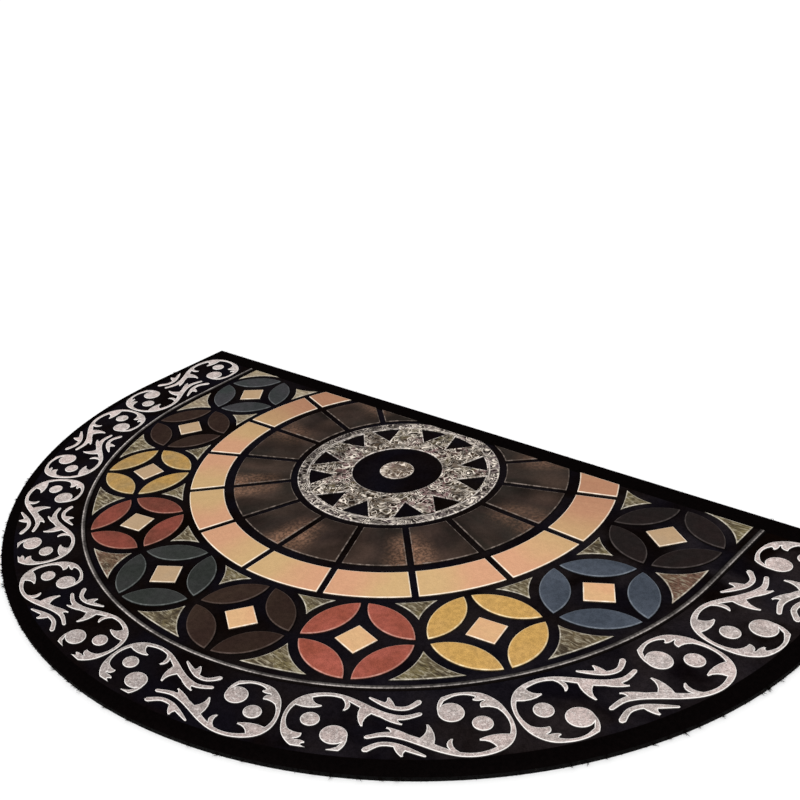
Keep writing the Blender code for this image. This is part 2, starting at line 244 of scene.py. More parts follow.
def length_property(name, description, default):
    """A size in metres, shown in the user's own units."""
    return bpy.props.FloatProperty(
        name=name, description=description, default=default, min=0.0, precision=4, unit="LENGTH"
    )


def colour_property(name, description, *levels):
    """A colour, given as a screen shows it."""
    shown = display(*levels)
    return bpy.props.FloatVectorProperty(
        name=name, description=description, default=shown, size=3, min=0.0, max=1.0, subtype="COLOR"
    )


def count_property(name, description, default):
    """How many of a thing there are."""
    return bpy.props.IntProperty(name=name, description=description, default=default, min=0)


class DoormatSizes(bpy.types.PropertyGroup):
    """Sizes of the doormat"""

    width: length_property("Width", "Width of the mat along its straight edge", CAD_HIGH[0] - CAD_LOW[0])
    depth: length_property("Depth", "From the straight edge to the round front", CAD_HIGH[1] - CAD_LOW[1])
    ground: length_property("Ground Height", "Height of the black ground over the floor", 0.006)
    rim: length_property("Rim Height", "Height of the outer edge over the floor", 0.0035)
    tile_side: length_property("Tile Side", "Upright side of tiles and petals", 0.0009)
    low_side: length_property("Low Side", "Upright side of sun, triangles and scrolls", 0.0007)
    fibre: length_property("Fibre Length", "Longest stray fibre along the rim", 0.0042)
    fibres: count_property("Fibres", "How many short fibres stand on the rim", 2400)
    tufts: count_property("Tufts", "How many small tufts stand out of the rim", 64)


class DoormatColours(bpy.types.PropertyGroup):
    """Colours of the doormat's piles"""

    ground: colour_property("Ground", "Black pile of the plain band", 9, 6, 6)
    field: colour_property("Field", "Nearly black pile between the forms", 13, 7, 5)
    # Partly the field's own tint, partly painted sheen
    field_tint_and_sheen: colour_property("Field Tint", "Faint grey patches of the field", 42, 36, 37)
    straw: colour_property("Straw", "Light tiles next to every second joint", 209, 173, 124)
    peach: colour_property("Peach", "Light tiles next to the other joints", 215, 161, 126)
    # Cream is the painted highlight along the edges of the light tiles and squares
    cream: colour_property("Cream", "Edges of the light tiles and squares", 255, 240, 220)
    umber: colour_property("Umber", "Dark tiles", 50, 40, 36)
    copper: colour_property("Copper", "Glow on the dark tiles", 156, 117, 94)
    sun: colour_property("Sun", "Ground tone of the sun", 84, 69, 57)
    sun_lines: colour_property("Sun Lines", "Fine curls on the sun", 255, 242, 226)
    blue: colour_property("Blue", "Blue petals", 71, 78, 89)
    slate: colour_property("Slate", "Grey petals in the back corner", 68, 67, 70)
    brown: colour_property("Brown", "Brown petals", 53, 38, 33)
    ebony: colour_property("Ebony", "Nearly black petals in the other back corner", 36, 31, 30)
    yellow: colour_property("Yellow", "Yellow petals", 211, 166, 94)
    red: colour_property("Red", "Red petals", 180, 97, 82)
    teal: colour_property("Teal", "Petals of a greenish grey", 53, 56, 53)
    olive: colour_property("Olive", "Curved triangles", 120, 107, 82)
    # The rib's light line is a painted highlight
    rib: colour_property("Rib", "Light line of the rib", 226, 216, 210)
    scroll: colour_property("Scrolls", "Leafy scrolls of the border", 217, 203, 198)


# Forms


def only(geom, kind):
    """The vertices, edges or faces among what an operator gives back."""
    return [item for item in geom if isinstance(item, kind)]


def everything(bm):
    """All of a form, as an operator takes it."""
    return bm.verts[:] + bm.edges[:] + bm.faces[:]


def on_circle(radius, angle, centre=(0.0, 0.0), height=0.0):
    """The point of a circle at an angle in degrees from the front."""
    turn = math.radians(angle)
    return Vector((centre[0] + radius * math.sin(turn), centre[1] - radius * math.cos(turn), height))


def angle_of(point):
    """The angle of a point in degrees from the front."""
    return math.degrees(math.atan2(point.x, -point.y))


def new_form():
    """An empty form with what its materials read: edge, side and tone.

    Edge is 1 along a moulded edge, side is 1 on an upright side, and tone is what sets a form apart.
    """
    bm = bmesh.new()
    for name in ("edge", "side", "tone"):
        bm.verts.layers.float.new(name)
    return bm


def mark(verts, layer, value):
    """Gives vertices a value in a layer."""
    for vert in verts:
        vert[layer] = value


def spin_arc(bm, start, centre, angle, steps):
    """Edges on an arc that starts at a point and turns round a centre. Gives its first and last vertex."""
    first = bm.verts.new(start)
    middle = (centre[0], centre[1], 0.0)
    turn = math.radians(angle)
    spun = bmesh.ops.spin(bm, geom=[first], cent=middle, axis=(0, 0, 1), angle=turn, steps=steps)
    return first, only(spun["geom_last"], BMVert)[0]


def repeat_round(bm, geom, centre, pitch, count):
    """Copies of a form round a centre, the first one included in the count."""
    middle = (centre[0], centre[1], 0.0)
    turn = math.radians(pitch * (count - 1))
    bmesh.ops.spin(
        bm, geom=geom, cent=middle, axis=(0, 0, 1), angle=turn, steps=count - 1, use_duplicate=True
    )


def fill_loops(bm):
    """Closes every loop of bare edges with a face of its own."""
    bmesh.ops.remove_doubles(bm, verts=bm.verts, dist=MERGE_DISTANCE)
    bmesh.ops.holes_fill(bm, edges=[edge for edge in bm.edges if edge.is_wire], sides=0)


def cut(bm, geom, place, way, clear=True):
    """Cuts a form along a plane, and takes away what lies beyond it. Gives what is left."""
    return bmesh.ops.bisect_plane(
        bm, geom=geom, dist=TOLERANCE, plane_co=place, plane_no=way, clear_outer=clear
    )["geom"]


def cut_at_limit(bm):
    """Cuts the flat forms off at the plain band of the straight edge."""
    bm.normal_update()
    cut(bm, everything(bm), (0, PATTERN_LIMIT, 0), (0, 1, 0))


def face_up(bm):
    """Turns all flat faces upwards."""
    bm.normal_update()
    bmesh.ops.reverse_faces(bm, faces=[face for face in bm.faces if face.normal.z < 0])
    bm.normal_update()


def give_tones(bm, seed, low=0.0, high=1.0):
    """Gives each flat face its own tone between two limits."""
    rng = random.Random(seed)
    tone = bm.verts.layers.float["tone"]
    for face in bm.faces:
        mark(face.verts, tone, rng.uniform(low, high))


def triangle_tones(bm):
    """Gives the triangles low tones, and the browner ones outside the rosettes a high one."""
    give_tones(bm, TRIANGLE_SEED, 0.0, 0.6)
    tone = bm.verts.layers.float["tone"]
    for face in bm.faces:
        middle = face.calc_center_median()
        brown = any(abs(angle_of(middle) - place) < TILE_PITCH / 4 for place in BROWN_TRIANGLES)
        if brown and middle.length > ROSETTE_RING_RADIUS:
            mark(face.verts, tone, 1.0)


def lift_faces(bm, height):
    """Makes a closed slab of the flat faces. Gives its top faces and their vertices."""
    lifted = bmesh.ops.extrude_face_region(bm, geom=bm.faces[:])["geom"]
    tops = only(lifted, BMVert)
    bmesh.ops.translate(bm, verts=tops, vec=(0, 0, height))
    return only(lifted, BMFace), tops


def inset_faces(bm, faces, inset, rise):
    """Draws the outline of faces in by an even step and lifts them. Gives the rim that this makes."""
    return bmesh.ops.inset_region(bm, faces=faces, thickness=inset, depth=rise, use_even_offset=True)["faces"]


def raise_forms(bm, ground, side, rows):
    """Turns the flat forms into closed, raised ones, sunk a little into the ground. Gives their crowns."""
    edge, wall = bm.verts.layers.float["edge"], bm.verts.layers.float["side"]
    face_up(bm)
    for vert in bm.verts:
        vert.co.z = ground / MM - SUNK
    mark(bm.verts, wall, 1.0)
    crowns, tops = lift_faces(bm, side / MM + SUNK)
    mark(tops, edge, 1.0)
    for face in bm.faces:
        face.smooth = True
    for inset, rise, strength in rows:
        inset_faces(bm, crowns, inset, rise)
        for face in crowns:
            mark(face.verts, edge, strength)
            mark(face.verts, wall, 0.0)
    for face in crowns:
        face.smooth = False
    return crowns


def shrink_crowns(bm, crowns, share, rise):
    """Adds a ring inside each crown that keeps its form and stands higher."""
    raised = bmesh.ops.extrude_discrete_faces(bm, faces=crowns)["faces"]
    for face in raised:
        space = Matrix.Translation(-face.calc_center_median())
        bmesh.ops.scale(bm, vec=(share, share, 1), space=space, verts=face.verts)
        bmesh.ops.translate(bm, vec=(0, 0, rise), verts=face.verts)
    return raised


def tile_map(bm, ring):
    """A map for ring tiles: u counts the joints from the front, v runs from the inner to the outer side."""
    layer = bm.loops.layers.uv.new("UVMap")
    inner, outer = ring
    for face in bm.faces:
        for loop in face.loops:
            point = loop.vert.co
            out = (math.hypot(point.x, point.y) - inner) / (outer - inner)
            loop[layer].uv = (angle_of(point) / TILE_PITCH, out)


def new_object(context, name, data):
    """A new object in the scene, at the origin."""
    made = bpy.data.objects.new(name, data)
    context.scene.collection.objects.link(made)
    return made


def finish_piece(context, name, bm, materials):
    """Presses the plan to the mat's real size, and makes an object of it that stands for the mat's solid."""
    sizes = context.scene.doormat_sizes
    press = sizes.depth / PLAN_DEPTH
    scale = Matrix.Diagonal((sizes.width / PLAN_WIDTH, press, MM, 1.0))
    place = Matrix.Translation((0.0, sizes.depth / 2 - BACK_DEPTH * press, 0.0))
    bmesh.ops.transform(bm, matrix=place @ scale, verts=bm.verts)
    bmesh.ops.recalc_face_normals(bm, faces=bm.faces)
    mesh = bpy.data.meshes.new(name)
    bm.to_mesh(mesh)
    bm.free()
    for material in materials:
        mesh.materials.append(material)
    piece = new_object(context, name, mesh)
    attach(piece, "root")
    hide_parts("mat")


def outline_radius(angle):
    """Distance of the mat's round edge from the middle of the sun."""
    turn = math.radians(angle)
    return 1 / math.hypot(math.sin(turn) / (PLAN_WIDTH / 2), math.cos(turn) / FRONT_RADIUS)


def mat_face(bm):
    """The mat's flat outline as one face: a round front, short straight sides and a straight back."""
    spin_arc(bm, on_circle(PLAN_WIDTH / 2, -90), (0, 0), 180, OUTLINE_STEPS)
    for vert in bm.verts:
        angle = angle_of(vert.co)
        vert.co = on_circle(outline_radius(angle), angle)
    ends = [vert for vert in bm.verts if len(vert.link_edges) == 1]
    corners = bmesh.ops.extrude_vert_indiv(bm, verts=ends)["verts"]
    bmesh.ops.translate(bm, verts=corners, vec=(0, BACK_DEPTH, 0))
    bm.edges.new(corners)
    bmesh.ops.contextual_create(bm, geom=bm.edges[:])


def pattern_field(bm, crowns):
    """Marks the field under the pattern with tone 1, inside the plain band, which keeps tone 0."""
    tone = bm.verts.layers.float["tone"]
    rim = sum(inset for inset, _ in RIM_ROWS)
    for width in (RIM_BAND - rim, FIELD_FADE):
        inset_faces(bm, crowns, width, 0.0)
    for face in crowns:
        mark(face.verts, tone, 1.0)
    for limit in (PATTERN_LIMIT, PATTERN_LIMIT + FIELD_FADE):
        cut(bm, everything(bm), (0, limit, 0), (0, 1, 0), clear=False)
    mark([vert for vert in bm.verts if vert.co.y > PATTERN_LIMIT + FIELD_FADE / 2], tone, 0.0)


def ring_tiles(bm, ring):
    """Flat tiles all round a ring, with joints that are equally wide all along."""
    first = -TILE_PITCH * RING_TILES / 2
    ends = [bm.verts.new(on_circle(radius, first)) for radius in ring]
    side = bm.edges.new(ends)
    turn = math.radians(TILE_PITCH)
    bmesh.ops.spin(bm, geom=[*ends, side], cent=(0, 0, 0), axis=(0, 0, 1), angle=turn, steps=TILE_STEPS)
    for joint, way in ((first, 1), (first + TILE_PITCH, -1)):
        across = on_circle(way, joint + 90)
        cut(bm, everything(bm), across * TILE_JOINT / 2, -across)
    repeat_round(bm, everything(bm), (0, 0), TILE_PITCH, RING_TILES)
    cut_at_limit(bm)


def sun_notch(bm, angle):
    """A triangle of edges with its tip towards the middle."""
    half = math.degrees(NOTCH_HALF_WIDTH / NOTCH_BASE_RADIUS)
    start = on_circle(NOTCH_BASE_RADIUS, angle - half)
    first, last = spin_arc(bm, start, (0, 0), 2 * half, NOTCH_STEPS)
    tip = bm.verts.new(on_circle(NOTCH_TIP_RADIUS, angle))
    bm.edges.new((last, tip))
    bm.edges.new((tip, first))


def sun_faces(bm):
    """The sun as a flat ring with its notches left open, and the dot in its middle."""
    for radius, segments in ((SUN_RADIUS, SUN_STEPS), (DISC_RADIUS, DISC_STEPS)):
        bmesh.ops.create_circle(bm, cap_ends=False, radius=radius, segments=segments)
    for k in range(NOTCH_PAIRS):
        middle = 360 / NOTCH_PAIRS * k
        for angle in (middle - NOTCH_SPREAD, middle + NOTCH_SPREAD):
            sun_notch(bm, angle)
    bmesh.ops.triangle_fill(bm, use_beauty=True, use_dissolve=False, edges=bm.edges[:])
    cut_at_limit(bm)
    bmesh.ops.create_circle(bm, cap_ends=True, radius=DOT_RADIUS, segments=DOT_STEPS)


def rosette_petals(bm, angle):
    """Four flat petals round a rosette's middle, each between two arcs."""
    middle = on_circle(ROSETTE_RING_RADIUS, angle)
    half = 45 - math.degrees(PETAL_GAP / 2 / ROSETTE_RADIUS)
    chord_half = ROSETTE_RADIUS * math.sin(math.radians(half))
    chord_place = ROSETTE_RADIUS * math.cos(math.radians(half))
    bow = PETAL_THICKNESS - (ROSETTE_RADIUS - chord_place)
    inner_radius = (chord_half**2 + bow**2) / (2 * bow)
    inner_half = math.degrees(math.asin(chord_half / inner_radius))
    before = len(bm.verts)
    outer_start = on_circle(ROSETTE_RADIUS, angle + 45 - half, middle)
    inner_start = on_circle(ROSETTE_RADIUS, angle + 45 + half, middle)
    spin_arc(bm, outer_start, middle, 2 * half, PETAL_STEPS)
    inner_middle = on_circle(chord_place - bow + inner_radius, angle + 45, middle)
    spin_arc(bm, inner_start, inner_middle, 2 * inner_half, PETAL_STEPS)
    bm.verts.ensure_lookup_table()
    verts = bm.verts[before:]
    edges = list({edge for vert in verts for edge in vert.link_edges})
    repeat_round(bm, verts + edges, middle, 90, 4)


def rosette_square(bm, angle):
    """The flat square in the middle of a rosette, with a corner towards the sun."""
    middle = Matrix.Translation(on_circle(ROSETTE_RING_RADIUS, angle))
    place = middle @ Matrix.Rotation(math.radians(angle), 4, "Z")
    bmesh.ops.create_circle(bm, cap_ends=True, radius=SQUARE_SIDE / math.sqrt(2), segments=4, matrix=place)


def curved_triangle(bm, middle, side):
    """Edges of the piece between two rosettes and a ring, with side 1 outside the rosettes and -1 inside."""
    ring = TRIANGLE_BAND[1] if side > 0 else TRIANGLE_BAND[0]
    half = TILE_PITCH / 2
    far = ROSETTE_RING_RADIUS * math.cos(math.radians(half))
    across = ROSETTE_RING_RADIUS * math.sin(math.radians(half))
    spread = (ring**2 + ROSETTE_RING_RADIUS**2 - ROSETTE_CLEARANCE**2) / (2 * ring * ROSETTE_RING_RADIUS)
    reach = half - math.degrees(math.acos(spread))
    tip = on_circle(far + side * math.sqrt(ROSETTE_CLEARANCE**2 - across**2), middle)
    spin_arc(bm, on_circle(ring, middle - reach), (0, 0), 2 * reach, TRIANGLE_STEPS)
    for way in (-1, 1):
        rosette = on_circle(ROSETTE_RING_RADIUS, middle + way * half)
        foot = on_circle(ring, middle + way * reach)
        turn = (foot - rosette).xy.angle_signed((tip - rosette).xy)
        spin_arc(bm, foot, rosette, -math.degrees(turn), TRIANGLE_STEPS)


def corner_triangle(bm, way):
    """Edges of the piece between the last rosette, the rib and the plain band, on the right for way 1."""
    last = TILE_PITCH * (ROSETTE_COUNT - 1) / 2
    rosette = on_circle(ROSETTE_RING_RADIUS, way * last)
    side = way * TRIANGLE_BAND[1]
    on_side = Vector((side, rosette.y + math.sqrt(ROSETTE_CLEARANCE**2 - (side - rosette.x) ** 2), 0))
    drop = PATTERN_LIMIT - rosette.y
    on_band = Vector((rosette.x + way * math.sqrt(ROSETTE_CLEARANCE**2 - drop**2), PATTERN_LIMIT, 0))
    turn = (on_side - rosette).xy.angle_signed((on_band - rosette).xy)
    spin_arc(bm, on_side, rosette, -math.degrees(turn), TRIANGLE_STEPS)
    corners = [bm.verts.new(point) for point in (on_side, (side, PATTERN_LIMIT, 0), on_band)]
    for pair in zip(corners, corners[1:]):
        bm.edges.new(pair)


def bowed(start, end, bow, steps):
    """Points of a round arc from start to end, without the end, with its middle bow to the left."""
    chord_x, chord_y = end[0] - start[0], end[1] - start[1]
    chord = math.hypot(chord_x, chord_y)
    radius = (chord * chord / 4 + bow * bow) / (2 * abs(bow))
    points = []
    for i in range(steps):
        share = i / steps
        along = (share - 0.5) * chord
        height = math.sqrt(radius * radius - along * along) - radius + abs(bow)
        lift = math.copysign(height, bow) / chord
        x = start[0] + chord_x * share - chord_y * lift
        y = start[1] + chord_y * share + chord_x * lift
        points.append((x, y))
    return points


def smooth_value(before, here, after, beyond, share):
    """A value between here and after, on a smooth curve through all four."""
    slope = (after - before) / 2
    last_slope = (beyond - here) / 2
    bend = 3 * (after - here) - 2 * slope - last_slope
    twist = 2 * (here - after) + slope + last_slope
    return here + share * (slope + share * (bend + share * twist))


def spine_row(spine, place):
    """The x, y and half width of a spine at a place, which counts its rows."""
    last = len(spine) - 1
    i = min(max(int(place), 0), last - 1)
    rows = (spine[max(i - 1, 0)], spine[i], spine[i + 1], spine[min(i + 2, last)])
    return [smooth_value(*values, place - i) for values in zip(*rows)]


def spine_side(spine, place, side):
    """A point on one side of a leafy ribbon, where side is 1 on the left and -1 on the right."""
    nudge = 0.05
    x, y, half = spine_row(spine, place)
    ahead, behind = spine_row(spine, place + nudge), spine_row(spine, place - nudge)
    run_x, run_y = ahead[0] - behind[0], ahead[1] - behind[1]
    run = math.hypot(run_x, run_y)
    return (x - side * half * run_y / run, y + side * half * run_x / run)


def leafy_ribbon(spine, lobes):
    """Both sides of a ribbon, with lobes on its left side, each between two places on the spine."""
    places = [i / SCROLL_STEPS for i in range((len(spine) - 1) * SCROLL_STEPS + 1)]
    right = [spine_side(spine, place, -1) for place in places]
    left = []
    reached = -1.0
    for start, end, tip_x, tip_y, bow in lobes:
        left += [spine_side(spine, place, 1) for place in places if reached < place < start]
        root, foot = spine_side(spine, start, 1), spine_side(spine, end, 1)
        out_x, out_y = tip_x - (root[0] + foot[0]) / 2, tip_y - (root[1] + foot[1]) / 2
        half = TIP_WIDTH / 2 / math.hypot(out_x, out_y)
        near, far = (tip_x - out_y * half, tip_y + out_x * half), (tip_x + out_y * half, tip_y - out_x * half)
        left += bowed(root, near, bow, SCROLL_STEPS) + [near] + bowed(far, foot, -bow, SCROLL_STEPS) + [foot]
        reached = end
    left += [spine_side(spine, place, 1) for place in places if place > reached]
    return right[:-1] + round_end(right[-1], left[-1]) + left[::-1]


def round_end(start, end):
    """Points round the end of a ribbon, from one side to the other, without the last."""
    return bowed(start, end, -ROUND_SHARE * math.dist(start, end) / 2, SCROLL_STEPS)


def scroll_outline():
    """The leafy scroll, from the drop that it grows out of to its tail."""
    x, y, radius = DROP
    first, last = DROP_ANGLES
    steps = DROP_STEPS * SCROLL_STEPS
    turns = [math.radians(first + (last - first) * i / steps) for i in range(steps + 1)]
    drop = [(x + radius * math.cos(turn), y + radius * math.sin(turn)) for turn in turns]
    ribbon = leafy_ribbon(SCROLL_SPINE, SCROLL_LOBES)
    return ribbon + drop + bowed(drop[-1], ribbon[0], DROP_BOW, SCROLL_STEPS)[1:]


def leaf_outline():
    """The side leaf under the scroll's tail."""
    leaf = leafy_ribbon(LEAF_SPINE, LEAF_LOBES)
    return leaf + round_end(leaf[-1], leaf[0])[1:]


def on_border(point, pair, turned, side):
    """The plan point of a scroll's point. Pairs count from the front, and turned is the second scroll."""
    x, y = (-point.x, -point.y) if turned else point.xy
    along = (pair + 0.5) * SCROLL_PAIR_PITCH + x
    quarter = BORDER_LINE_RADIUS * math.pi / 2
    angle = math.degrees(min(along, quarter) / BORDER_LINE_RADIUS)
    outer = outline_radius(angle) - RIM_BAND
    middle = (outer + BORDER_INNER_RADIUS) / 2
    place = on_circle(middle + y * (outer - middle) / SCROLL_HALF_HEIGHT, side * angle)
    place.y += max(along - quarter, 0)
    return place


def scroll_faces(bm):
    """Every flat form of the scroll border."""
    for outline in (scroll_outline(), leaf_outline()):
        bm.faces.new([bm.verts.new((x, y, 0)) for x, y in outline])
    berry_x, berry_y, berry_radius = BERRY
    place = Matrix.Translation((berry_x, berry_y, 0))
    bmesh.ops.create_circle(bm, cap_ends=True, radius=berry_radius, segments=BERRY_STEPS, matrix=place)
    bm.normal_update()
    whole = everything(bm)
    shorter = cut(bm, bmesh.ops.duplicate(bm, geom=whole)["geom"], (0, CUT_HEIGHT, 0), (0, 1, 0))
    for pair in range(SCROLL_PAIRS_PER_SIDE):
        for turned in (False, True):
            pattern = shorter if pair < CUT_PAIRS and not turned else whole
            for side in (-1, 1):
                for vert in only(bmesh.ops.duplicate(bm, geom=pattern)["geom"], BMVert):
                    vert.co = on_border(vert.co, pair, turned, side)
    bmesh.ops.delete(bm, geom=only(whole + shorter, BMVert), context="VERTS")


# Materials


# Tones that the materials lay over the colours of the properties
BLACK = (0.0, 0.0, 0.0)
# Painted shade laid on the upright sides of raised forms
SIDE_SHADE = display(12, 8, 7)
# Partly a navy tint of the pile, partly painted sheen
NAVY_TINT_AND_SHEEN = display(19, 20, 32)
RUBBER_BLACK = display(8, 7, 7)
RUBBER_DUST = display(18, 17, 17)
# Painted shade of the light tiles towards the back corners, browner as well as darker
TILE_BROWN_SHADE = display(166, 118, 92)
TILE_STREAKS = display(230, 196, 154)
UMBER_SHADOW = display(28, 22, 19)
UMBER_GREEN = display(44, 45, 40)
UMBER_STREAKS = display(66, 50, 46)
UMBER_LIGHT = display(92, 72, 62)
UMBER_DEEP = display(24, 19, 16)
# Painted edge highlight of the dark tiles
UMBER_EDGE_HIGHLIGHT = display(148, 134, 125)
SUN_GREEN = display(98, 92, 64)
SUN_PINK = display(124, 92, 96)
SUN_RING = display(88, 78, 84)
SUN_DEEP = display(28, 20, 16)
SUN_MIDDLE = display(226, 192, 170)
SUN_LINE = display(232, 222, 214)
# Painted edge highlight of the sun
SUN_EDGE_HIGHLIGHT = display(236, 226, 218)
TRIANGLE_BROWN = display(134, 100, 84)
TRIANGLE_YELLOW = display(144, 131, 90)
TRIANGLE_SHADE = display(74, 64, 53)
DARK_DABS = display(60, 49, 39)
LIGHT_DABS = display(188, 178, 154)
CORNER_LIGHT = display(206, 186, 162)
# Painted edge highlight of the triangles
TRIANGLE_EDGE_HIGHLIGHT = display(226, 218, 202)
RIB_BLACK = display(14, 9, 8)
SCROLL_GREY = display(198, 185, 178)
SCROLL_PINK = display(226, 204, 198)
SCROLL_SPECKLE = display(255, 247, 242)
# Painted edge highlight of the scrolls
SCROLL_EDGE_HIGHLIGHT = display(255, 250, 245)
FIBRE_BLACK = display(12, 9, 8)
FIBRE_GREY = display(48, 44, 42)

# Depth of the fine relief that the light plays on, in metres
PILE_DEPTH = 0.0004
RUBBER_DEPTH = 0.0002

GROUPS = {}


def darker(colour, share):
    """A colour moved towards black."""
    return tuple(level * (1 - share) for level in colour)


def filled(colour):
    """A colour as a node takes it: another node's output as it is, and plain levels with full cover."""
    return colour if isinstance(colour, bpy.types.NodeSocket) else (*colour, 1.0)


class Nodes:
    """The nodes of a material or a group, and the place that their patterns follow."""

    def __init__(self, tree, place):
        self.tree = tree
        self.place = place

    def add(self, kind, inputs=None, **settings):
        """Adds a node, with its settings, and fills its inputs with values or outputs. Gives its outputs."""
        made = self.tree.nodes.new(kind)
        for name, value in settings.items():
            setattr(made, name, value)
        for key, value in (inputs or {}).items():
            if isinstance(value, bpy.types.NodeSocket):
                self.tree.links.new(value, made.inputs[key])
            else:
                made.inputs[key].default_value = value
        return made.outputs

    def maths(self, operation, first, second=0.0, clamp=False):
        """The result of a sum on two values."""
        return self.add("ShaderNodeMath", {0: first, 1: second}, operation=operation, use_clamp=clamp)[0]

    def plus(self, first, second):
        """Two values added up."""
        return self.maths("ADD", first, second)

    def times(self, first, second, clamp=False):
        """One value times another."""
        return self.maths("MULTIPLY", first, second, clamp)

    def lay(self, under, over, share, most=1.0):
        """One colour laid over another, by a share that most can lower."""
        if most != 1.0:
            share = self.times(share, most)
        return self.add("ShaderNodeMix", {0: share, 6: filled(under), 7: filled(over)}, data_type="RGBA")[2]

    def noise(self, scale, detail=2.0, roughness=0.5, distortion=0.0, place=None):
        """Cloudy noise."""
        inputs = {"Vector": self.place if place is None else place, "Scale": scale}
        inputs.update({"Detail": detail, "Roughness": roughness, "Distortion": distortion})
        return self.add("ShaderNodeTexNoise", inputs)["Fac"]

    def drift(self, scale, amount):
        """A value that wanders round 0, at most half the amount away."""
        return self.times(self.maths("SUBTRACT", self.noise(scale), 0.5), amount)

    def spread(self, value, low, high, to_low=0.0, to_high=1.0):
        """A value between low and high, softly spread between two others."""
        inputs = {"Value": value, "From Min": low, "From Max": high, "To Min": to_low, "To Max": to_high}
        return self.add("ShaderNodeMapRange", inputs, interpolation_type="SMOOTHSTEP")["Result"]

    def attribute(self, name):
        """What new_form gave the vertices: edge, side or tone."""
        return self.add("ShaderNodeAttribute", attribute_name=name)["Fac"]

    def part(self, axis):
        """How far to the right, for X, or towards the straight edge, for Y, a place is, in metres."""
        return self.add("ShaderNodeSeparateXYZ", {0: self.place})[axis]

    def effect(self, key, **inputs):
        """Places a shared effect and gives its outputs."""
        if not GROUPS:
            GROUPS.update(build_groups())
        return self.add("ShaderNodeGroup", inputs, node_tree=GROUPS[key])

    def patches(self, scale):
        """Soft patches from the shared effect."""
        return self.effect("patches", Place=self.place, Scale=scale)["Mask"]


class Surface(Nodes):
    """A matt material, with its nodes and the inputs of its shader."""

    def __init__(self, name, colour, specular=0.03):
        self.material = bpy.data.materials.new(name)
        self.material.use_nodes = True
        self.material.diffuse_color = filled(colour)
        tree = self.material.node_tree
        super().__init__(tree, tree.nodes.new("ShaderNodeTexCoord").outputs["Object"])
        self.shader = tree.nodes["Principled BSDF"].inputs
        self.shader["Specular IOR Level"].default_value = specular

    def join(self, name, value):
        """Joins a node's output to the shader."""
        self.tree.links.new(value, self.shader[name])

    def relief(self, height, strength, depth):
        """Joins a fine relief to the shader."""
        bump = self.add("ShaderNodeBump", {"Strength": strength, "Distance": depth, "Height": height})
        self.join("Normal", bump["Normal"])

    def short_pile(self, colour, highlight_colour=None, edge=1.0, breakup=0.6, tufts=620.0, grain=0.25, bump=0.5):
        """Gives a colour its short pile and, where it has a moulded edge, a painted highlight along that edge
        and painted shade on its upright sides. Gives the material.
        """
        shade, height = self.effect("grain", Place=self.place, Tufts=tufts).values()
        colour = self.lay(colour, BLACK, self.spread(shade, 0.0, 1.0, grain, 0.0))
        if highlight_colour is not None:
            # Painted highlight along the moulded edge, broken up by noise
            mask = self.effect("edge", Place=self.place, Amount=edge, Worn=breakup)["Mask"]
            colour = self.lay(colour, highlight_colour, mask)
            # Painted shade: darkens the upright sides nearly to black
            colour = self.lay(colour, SIDE_SHADE, self.spread(self.attribute("side"), 0.35, 0.85, 0.0, 0.92))
        self.join("Base Color", colour)
        self.join("Roughness", self.spread(shade, 0.0, 1.0, 1.0, 0.82))
        self.relief(height, bump, PILE_DEPTH)
        return self.material


def start_group(name, **inputs):
    """Starts a group. Gives its nodes and its inputs: a place first, then values with their defaults."""
    group = bpy.data.node_groups.new(name, "ShaderNodeTree")
    for label, default in inputs.items():
        kind = "NodeSocketVector" if default is None else "NodeSocketFloat"
        socket = group.interface.new_socket(name=label, in_out="INPUT", socket_type=kind)
        if default is not None:
            socket.default_value = default
    given = group.nodes.new("NodeGroupInput").outputs
    return Nodes(group, given[0]), given


def end_group(nodes, **outputs):
    """Puts a group's values out under their names. Gives the group."""
    group = nodes.tree
    for label in outputs:
        group.interface.new_socket(name=label, in_out="OUTPUT", socket_type="NodeSocketFloat")
    result = group.nodes.new("NodeGroupOutput").inputs
    for label, value in outputs.items():
        group.links.new(value, result[label])
    return group


def pile_grain_group():
    """Short upright pile: small tufts with finer fibres in them."""
    nodes, given = start_group("Pile Grain", Place=None, Tufts=620.0)
    tufts = given["Tufts"]
    cells = {"Vector": nodes.place, "Scale": tufts, "Randomness": 1.0}
    cell = nodes.add("ShaderNodeTexVoronoi", cells, feature="F1")["Distance"]
    tuft = nodes.spread(cell, 0.1, 0.75, 1.0, 0.0)
    fine = nodes.noise(nodes.times(tufts, 2.7), roughness=0.6)
    coarse = nodes.noise(nodes.times(tufts, 0.45), detail=3.0, roughness=0.6)
    shade = nodes.plus(nodes.times(fine, 0.6), nodes.times(coarse, 0.4))
    height = nodes.plus(nodes.times(tuft, 0.6), nodes.times(fine, 0.4))
    return end_group(nodes, Shade=nodes.spread(shade, 0.36, 0.64), Height=height)


def edge_highlight_group():
    """Painted highlight: a pale line along the moulded edges, a little broken up."""
    nodes, given = start_group("Painted Edge Highlight", Place=None, Amount=1.0, Worn=0.6)
    breaks = nodes.spread(nodes.noise(160.0, detail=3.0, roughness=0.65), 0.36, 0.58)
    kept = nodes.maths("SUBTRACT", 1.0, nodes.times(given["Worn"], breaks))
    mask = nodes.times(nodes.times(nodes.attribute("edge"), kept), given["Amount"], clamp=True)
    return end_group(nodes, Mask=mask)


def soft_patches_group():
    """Soft patches of a second tone."""
    nodes, given = start_group("Soft Patches", Place=None, Scale=40.0)
    wide = nodes.noise(given["Scale"], detail=3.0, roughness=0.55, distortion=0.4)
    return end_group(nodes, Mask=nodes.spread(wide, 0.36, 0.66))


